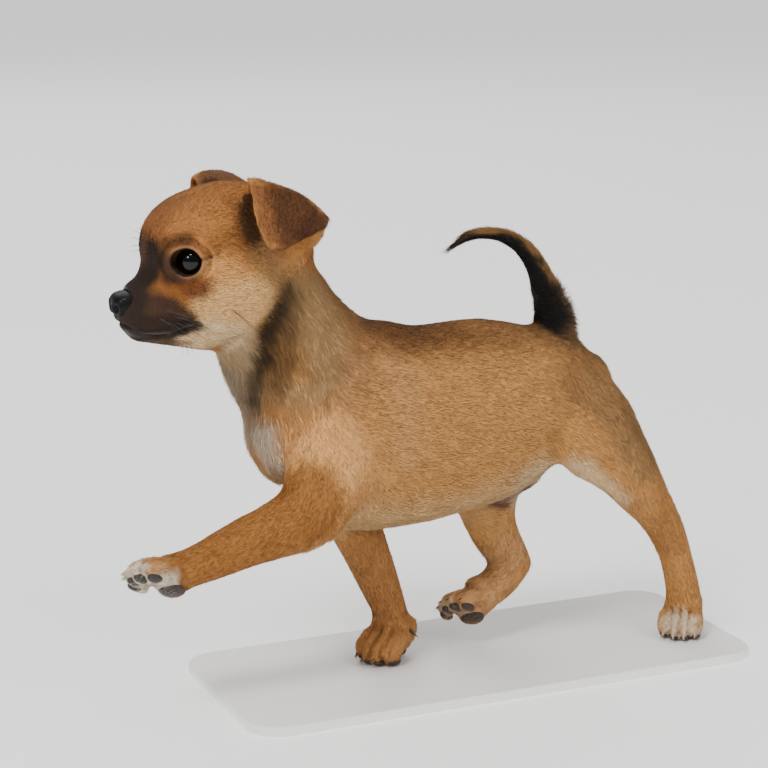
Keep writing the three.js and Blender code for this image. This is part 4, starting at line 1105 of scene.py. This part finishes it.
# The whiskers, lashes and brow hairs are single stiff hairs, dark and tapering to a point,
# on both sides of the face. Each is a long thin claw shape, set out by the same tree.
# Stiff hairs: root, way and length on the left side. The right side has the same.
STIFF_HAIRS = [
    ((-107, -8.5, 167), (0.4, -0.9, -0.1), 7), ((-103.5, -10.8, 168), (0.6, -0.8, 0.1), 9),
    ((-100.5, -12.5, 167), (0.7, -0.7, -0.1), 12), ((-97.5, -13.8, 165), (0.75, -0.65, -0.2), 14),
    ((-103, -10.8, 164.5), (0.6, -0.75, -0.35), 10), ((-99, -12.8, 162.5), (0.7, -0.6, -0.45), 13),
    ((-95.5, -13.8, 162), (0.8, -0.5, -0.4), 12), ((-77, -26.5, 168), (0.75, -0.5, -0.6), 13),
    ((-76, -26.5, 167), (0.8, -0.45, -0.7), 10), ((-91, -6, 151.5), (0.3, -0.3, -1), 4),
    ((-89.5, -5, 151.5), (0.5, -0.2, -1), 5), ((-88, -6, 151.5), (0.6, -0.3, -0.9), 4),
    ((-103, -5, 190), (-0.9, -0.1, 0.3), 4.5), ((-103.5, -4.5, 188.5), (-0.95, -0.2, 0.1), 4),
    ((-103, -6, 192), (-0.8, -0.1, 0.6), 4.5), ((-101, -9, 193.5), (-0.7, -0.3, 0.7), 4),
    ((-98.5, -14, 194), (-0.5, -0.6, 0.6), 4), ((-96.5, -16.5, 194.5), (-0.4, -0.7, 0.6), 4.5),
    ((-94.5, -18.5, 195), (-0.2, -0.8, 0.6), 4)]
LASH_ANGLES = range(20, 165, 9)
LASH_LENGTH = 2.2
LASH_ROOT = 7.2
LASH_SLANT = 1.1
STIFF_HAIR = {"Length": 0.01, "Radius": 0.00011, "Curl": -12.0}
stiff_hair, tree, shader = surface("whisker_keratin_dark", [("Roughness", 0.35), ("IOR", 1.55)])
place = add(tree, "ShaderNodeTexCoord").outputs["Object"]
tint = add(tree, "ShaderNodeTexNoise", [("Vector", place), ("Scale", 300.0)]).outputs["Fac"]
worked(tree, shader, tint, ("#0B0706", "#261912"))
hair_tree = scatter_tree("stiff_hair_shape", stiff_hair, "claw", STIFF_HAIR)
hairs = list(STIFF_HAIRS)
for angle in np.radians(LASH_ANGLES):
    on_lid = EYE_LONG * np.cos(angle) * LID_HALF_WIDTH + EYE_TALL * np.sin(angle) * LID_HALF_HEIGHT
    hairs.append((EYE_CENTRE + on_lid + EYE_AXIS * LASH_ROOT, unit(on_lid) + EYE_AXIS * LASH_SLANT,
                  LASH_LENGTH))
spots, turns, sizes = [], [], []
for at, ahead, long in hairs:
    for flip in ((1, 1, 1), (1, -1, 1)):
        spots.append(np.array(at) * flip)
        turns.append(turn_to(np.array(ahead) * flip, (0, 0, 1) if abs(ahead[2]) < 0.8 else (1, 0, 0)))
        sizes.append((1, 1, long / 10))
piece = scattered("whiskers_and_lashes", hair_tree, spots, turns, sizes, STIFF_HAIR)

# The floor is a plain pale sheet, wide enough to fill the view, under soft studio light
# from a large panel high on the left, a fainter one on the right, and pale walls all round.
FLOOR_COLOUR = "#F6F6F5"
FLOOR_HALF = 6000
WORLD_STRENGTH = 0.3
SKY_STRENGTH = 1.2
SKY_SPREAD = 1.5
paper, tree, shader = surface("studio_paper_matt", [
    ("Base Color", linear(FLOOR_COLOUR)), ("Roughness", 0.9),
    ("Emission Color", linear(FLOOR_COLOUR)), ("Emission Strength", 0.4)])
floor_mesh = bpy.data.meshes.new("floor")
floor_corners = [(x * FLOOR_HALF, y * FLOOR_HALF, FLOOR_HEIGHT)
                 for x, y in ((-1, -1), (1, -1), (1, 1), (-1, 1))]
floor_mesh.from_pydata(metres(floor_corners).tolist(), [], [(0, 1, 2, 3)])
floor_mesh.materials.append(paper)
floor = new_object("floor", floor_mesh)

world = bpy.data.worlds.new("studio")
world.use_nodes = True
background = world.node_tree.nodes["Background"].inputs
background["Color"].default_value = (1, 1, 1, 1)
background["Strength"].default_value = WORLD_STRENGTH
bpy.context.scene.world = world


def panel(name, place, target, size, power):
    """A round panel of light, its size in metres and its power in watts, aimed at a target."""
    light = bpy.data.lights.new(name, "AREA")
    light.shape, light.size, light.energy = "DISK", size, power
    thing = bpy.data.objects.new(name, light)
    bpy.context.scene.collection.objects.link(thing)
    thing.location = metres([place])[0]
    aim = Vector(metres([target])[0]) - thing.location
    thing.rotation_euler = aim.to_track_quat("-Z", "Y").to_euler()


panel("key", (-1700, -1200, 2600), (0, 0, 110), 0.9, 60)
panel("side", (1350, -2250, 1350), (0, 0, 110), 2.0, 34)
panel("back", (300, 2250, 1800), (0, 0, 110), 1.8, 18)
panel("catch", (-1450, -600, 800), (-85, -10, 185), 0.28, 4.5)
sky = bpy.data.lights.new("sky", "SUN")
sky.energy, sky.angle = SKY_STRENGTH, SKY_SPREAD
bpy.context.scene.collection.objects.link(bpy.data.objects.new("sky", sky))

# The camera stands a little below the puppy's head height, off its left shoulder.
CAMERA_TURN = -24
CAMERA_RISE = 13
CAMERA_DISTANCE = 933.3
CAMERA_TARGET = (0, 0, 125.2)
MM_PER_PIXEL = 0.42
FRAME_PIXELS = 768
SENSOR = 36
turn, rise_angle = math.radians(CAMERA_TURN), math.radians(CAMERA_RISE)
backward = np.array([
    math.sin(turn) * math.cos(rise_angle), -math.cos(turn) * math.cos(rise_angle), math.sin(rise_angle)])
lens = bpy.data.cameras.new("camera")
lens.sensor_width = SENSOR
lens.lens = SENSOR * CAMERA_DISTANCE / (MM_PER_PIXEL * FRAME_PIXELS)
lens.clip_end = 50
camera = bpy.data.objects.new("camera", lens)
bpy.context.scene.collection.objects.link(camera)
camera.location = metres([np.array(CAMERA_TARGET) + backward * CAMERA_DISTANCE])[0]
camera.rotation_euler = Vector(-backward).to_track_quat("-Z", "Y").to_euler()
bpy.context.scene.camera = camera
